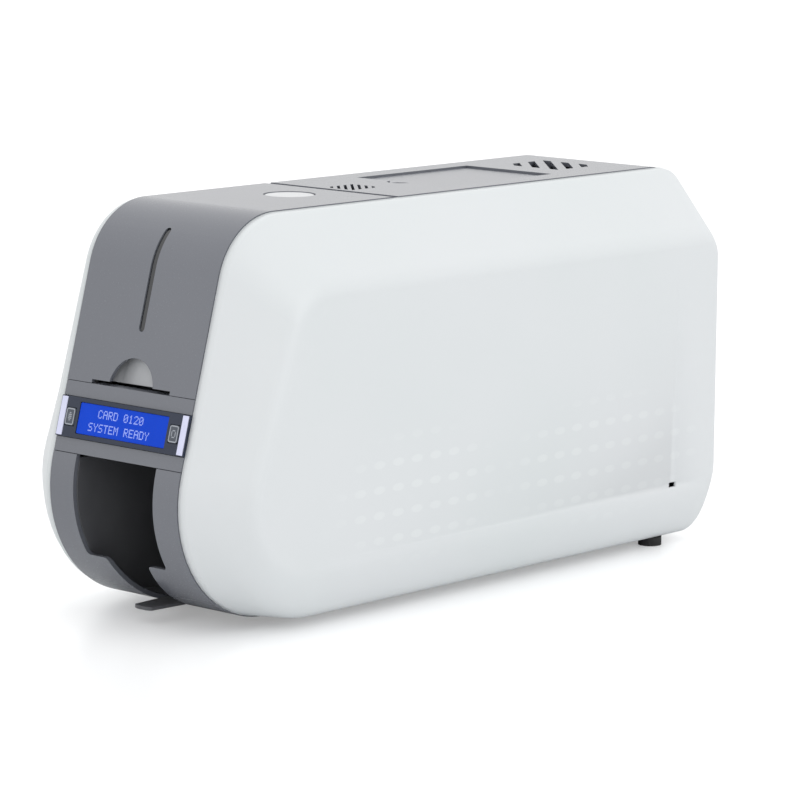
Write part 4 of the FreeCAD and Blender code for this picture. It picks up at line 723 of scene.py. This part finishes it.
def lightPipe(name, node, side):
    ends = sorted((side*module["barNear"], side*module["barFar"]))
    bm = slopeSheet(ends[0], ends[1], module["low"] + module["barEnd"], module["high"] - module["barEnd"])
    front = module["barFront"] - module["proud"]
    slopePlate(bm, name, frostedPipe, node, front, module["back"] - front, module["barEdge"])


modulePlate()
lightPipe("lightPipeRight", "light_bar_right", 1)
lightPipe("lightPipeLeft", "light_bar_left", -1)

scoop = {
    "half": 33.0, "leg": 3.5, "foot": 128.7, "arch": 131.5, "top": 150.0, "depth": 3.4, "thick": 2.0,
    "right": 13.0, "left": -14.0, "fade": -22.0, "sink": 3.6, "columns": 44, "edge": 0.2,
}


def scoopDepth(x):
    # the guide curves away from the right edge of the thumb notch to its left edge
    share = max(0, min(1, (scoop["right"] - x)/(scoop["right"] - scoop["left"])))
    back = max(0, min(1, (x - scoop["fade"])/(scoop["left"] - scoop["fade"])))
    return scoop["sink"]*share*share*back


def cardGuide():
    bm = slopeSheet(-scoop["half"], scoop["half"], scoop["foot"], scoop["top"])
    for i in range(1, scoop["columns"]):
        cutAcross(bm, (scoop["half"]*(2*i/scoop["columns"] - 1)*mm, 0, 0), (1, 0, 0))
    cutAcross(bm, (0, (scoop["arch"] - module["middle"])*mm, 0), (0, 1, 0))
    mouth = []
    for face in bm.faces:
        centre = face.calc_center_median()/mm
        if abs(centre.x) < scoop["half"] - scoop["leg"] and centre.y + module["middle"] < scoop["arch"]:
            mouth.append(face)
    bmesh.ops.delete(bm, geom=mouth, context="FACES")
    for vert in bm.verts:
        vert.co.z -= scoopDepth(vert.co.x/mm)*mm
    slopePlate(bm, "cardGuide", paleAbs, "card_guide",
               scoop["depth"], scoop["thick"], scoop["edge"])


cardGuide()
print("display module made")

display = {
    "lines": ("CARD 0120", "SYSTEM READY"), "left": -1.9, "columnPitch": 3.75, "linePitch": 7.2,
    "dot": 0.56, "dotPitch": 0.62, "dotColumns": 5, "dotRows": 7, "depth": -0.72, "high": 0.04,
    "shapes": {  # from the top row down, the bits of each number are that row's dots
        "R": (30, 17, 17, 30, 20, 18, 17), "E": (31, 16, 16, 30, 16, 16, 31),
        "A": (14, 17, 17, 31, 17, 17, 17), "D": (30, 17, 17, 17, 17, 17, 30),
        "Y": (17, 17, 10, 4, 4, 4, 4), "0": (14, 17, 19, 21, 25, 17, 14), "1": (4, 12, 4, 4, 4, 4, 14),
        "2": (14, 17, 1, 2, 4, 8, 31), "C": (14, 17, 16, 16, 16, 17, 14), "S": (15, 16, 16, 14, 1, 1, 30),
        "T": (31, 4, 4, 4, 4, 4, 4), "M": (17, 27, 21, 21, 17, 17, 17), " ": (0, 0, 0, 0, 0, 0, 0),
    },
}


def flatDot(bm, x, along, depth, wide, tall):
    verts = flatSheet(bm, wide, tall)
    bmesh.ops.rotate(bm, verts=verts, cent=(0, 0, 0), matrix=slopeTurn())
    bmesh.ops.translate(bm, verts=verts, vec=onSlope(x, along, depth))


def makeLetter(bm, letter, x, along):
    columns, pitch = display["dotColumns"], display["dotPitch"]
    for row, bits in enumerate(display["shapes"][letter]):
        for column in range(columns):
            if bits >> (columns - 1 - column) & 1:
                flatDot(bm, x + (column - columns//2)*pitch, along + (display["dotRows"]//2 - row)*pitch,
                        display["depth"] - display["high"], display["dot"], display["dot"])


def makeCharacters():
    bm = bmesh.new()
    for row, words in enumerate(display["lines"]):
        along = module["middle"] + display["linePitch"]*(0.5 - row)
        for place, letter in enumerate(words):
            x = display["left"] + (place - (len(words) - 1)/2)*display["columnPitch"]
            makeLetter(bm, letter, x, along)
    finishPiece(bm, "displayCharacters", litDots, "chassis")


makeCharacters()

keySymbols = {
    "depth": -1.5, "high": 0.04, "wide": 6.1, "tall": 8.6, "line": 0.6, "corner": 1.1, "cornerSegments": 3,
    # each stroke by its place across and along the key, its width and its height
    "left": ((0, 1.9, 1.2, 0.55), (0, 0.95, 2.4, 0.55), (0, 0, 2.4, 0.55), (0, -0.95, 2.4, 0.55),
             (0, -1.9, 1.2, 0.55)),
    "right": ((-1.25, 0, 0.55, 2.4), (1.25, 0, 0.55, 2.4), (0, 1.7, 1.9, 0.55), (0, -1.7, 1.9, 0.55)),
}


def keySymbol(name, body, centre, strokes):
    # a printed frame with a few strokes in it
    bm = bmesh.new()
    depth = keySymbols["depth"] - keySymbols["high"]
    flatSheet(bm, keySymbols["wide"], keySymbols["tall"])
    bmesh.ops.bevel(bm, geom=bm.verts[:], offset=keySymbols["corner"]*mm, offset_type="OFFSET",
                    segments=keySymbols["cornerSegments"], profile=0.5, affect="VERTICES", material=-1)
    bmesh.ops.inset_region(bm, faces=bm.faces[:], thickness=keySymbols["line"]*mm, use_boundary=True)
    inner = min(bm.faces, key=lambda face: face.calc_center_median().length)
    bmesh.ops.delete(bm, geom=[inner], context="FACES_ONLY")
    bmesh.ops.rotate(bm, verts=bm.verts[:], cent=(0, 0, 0), matrix=slopeTurn())
    bmesh.ops.translate(bm, verts=bm.verts[:], vec=onSlope(centre, module["middle"], depth))
    for x, along, wide, tall in strokes:
        flatDot(bm, centre + x, module["middle"] + along, depth, wide, tall)
    finishPiece(bm, name, printedInk, body)


keySymbol("keySymbolLeft", "button_left", -module["keyX"], keySymbols["left"])
keySymbol("keySymbolRight", "button_right", module["keyX"], keySymbols["right"])
print("display made")

studio = {
    "floorHalf": 9, "floorDark": "#F0F1F2", "floorPale": "#F4F5F6", "floorDrift": 1.5, "floorRoughness": 0.22,
    "floorIor": 1.33, "floorGlow": 0.3, "world": 0.82,
    "lamps": (  # name, place, what it is aimed at, size and power
        ("overheadBox", (0.1, 0.1, 2.4), (0, 0, 0), (2.6, 2.6), 10),
        ("sideBox", (2.6, 0.2, 1.3), (0, 0, 0.1), (1.8, 1.6), 12),
        ("frontBox", (-0.8, -2.6, 1.1), (0, 0, 0.1), (1.6, 1.4), 3),
    ),
}


def makeFloor():
    # the floor glows a little for the camera alone, so that it shows as pale as the background
    material, tree = startMaterial("paleFloor")
    place = addNode(tree, "TexCoord").outputs["Object"]
    drift = addNode(tree, "TexNoise", inputs={"Vector": place, "Scale": studio["floorDrift"]})
    tone = addNode(tree, "ValToRGB", inputs={"Fac": drift.outputs["Fac"]})
    tone.color_ramp.elements[0].color = linearColour(studio["floorDark"])
    tone.color_ramp.elements[1].color = linearColour(studio["floorPale"])
    shader = addNode(tree, "BsdfPrincipled", inputs={
        "Base Color": tone.outputs["Color"], "Roughness": studio["floorRoughness"],
        "IOR": studio["floorIor"]})
    ray = addNode(tree, "LightPath")
    extra = addNode(tree, "Emission", inputs={"Color": (1, 1, 1, 1), "Strength": studio["floorGlow"]})
    added = addNode(tree, "AddShader", inputs={0: shader.outputs[0], 1: extra.outputs[0]})
    chosen = addNode(tree, "MixShader", inputs={0: ray.outputs["Is Camera Ray"], 1: shader.outputs[0],
                                                2: added.outputs[0]})
    addNode(tree, "OutputMaterial", inputs={"Surface": chosen.outputs[0]})
    bm = bmesh.new()
    bmesh.ops.create_grid(bm, x_segments=1, y_segments=1, size=studio["floorHalf"])
    mesh = bpy.data.meshes.new("floor")
    bm.to_mesh(mesh)
    bm.free()
    mesh.materials.append(material)
    floor = bpy.data.objects.new("floor", mesh)
    bpy.context.scene.collection.objects.link(floor)


def softbox(name, location, target, size, power):
    data = bpy.data.lights.new(name, "AREA")
    data.shape = "RECTANGLE"
    data.size, data.size_y = size
    data.energy = power
    lamp = bpy.data.objects.new(name, data)
    lamp.location = location
    lamp.rotation_euler = (Vector(target) - Vector(location)).to_track_quat("-Z", "Y").to_euler()
    bpy.context.scene.collection.objects.link(lamp)


def makeWorld(strength):
    # the camera, gloss and glass see plain white, and the object is lit by a softer level
    world = bpy.data.worlds.new("studio")
    world.use_nodes = True
    tree = world.node_tree
    tree.nodes.clear()
    ray = addNode(tree, "LightPath")
    soft = addNode(tree, "Background", inputs={"Color": (1, 1, 1, 1), "Strength": strength})
    white = addNode(tree, "Background", inputs={"Color": (1, 1, 1, 1), "Strength": 1.0})
    clear = addNode(tree, "Math", {"operation": "MAXIMUM"}, {0: ray.outputs["Is Glossy Ray"],
                                                             1: ray.outputs["Is Transmission Ray"]})
    seen = addNode(tree, "Math", {"operation": "MAXIMUM"}, {0: ray.outputs["Is Camera Ray"],
                                                            1: clear.outputs[0]})
    chosen = addNode(tree, "MixShader", inputs={0: seen.outputs[0], 1: soft.outputs[0], 2: white.outputs[0]})
    addNode(tree, "OutputWorld", inputs={"Surface": chosen.outputs[0]})
    bpy.context.scene.world = world


makeFloor()
makeWorld(studio["world"])
for lamp in studio["lamps"]:
    softbox(*lamp)
bpy.context.scene.view_settings.view_transform = "Standard"
print("studio made")
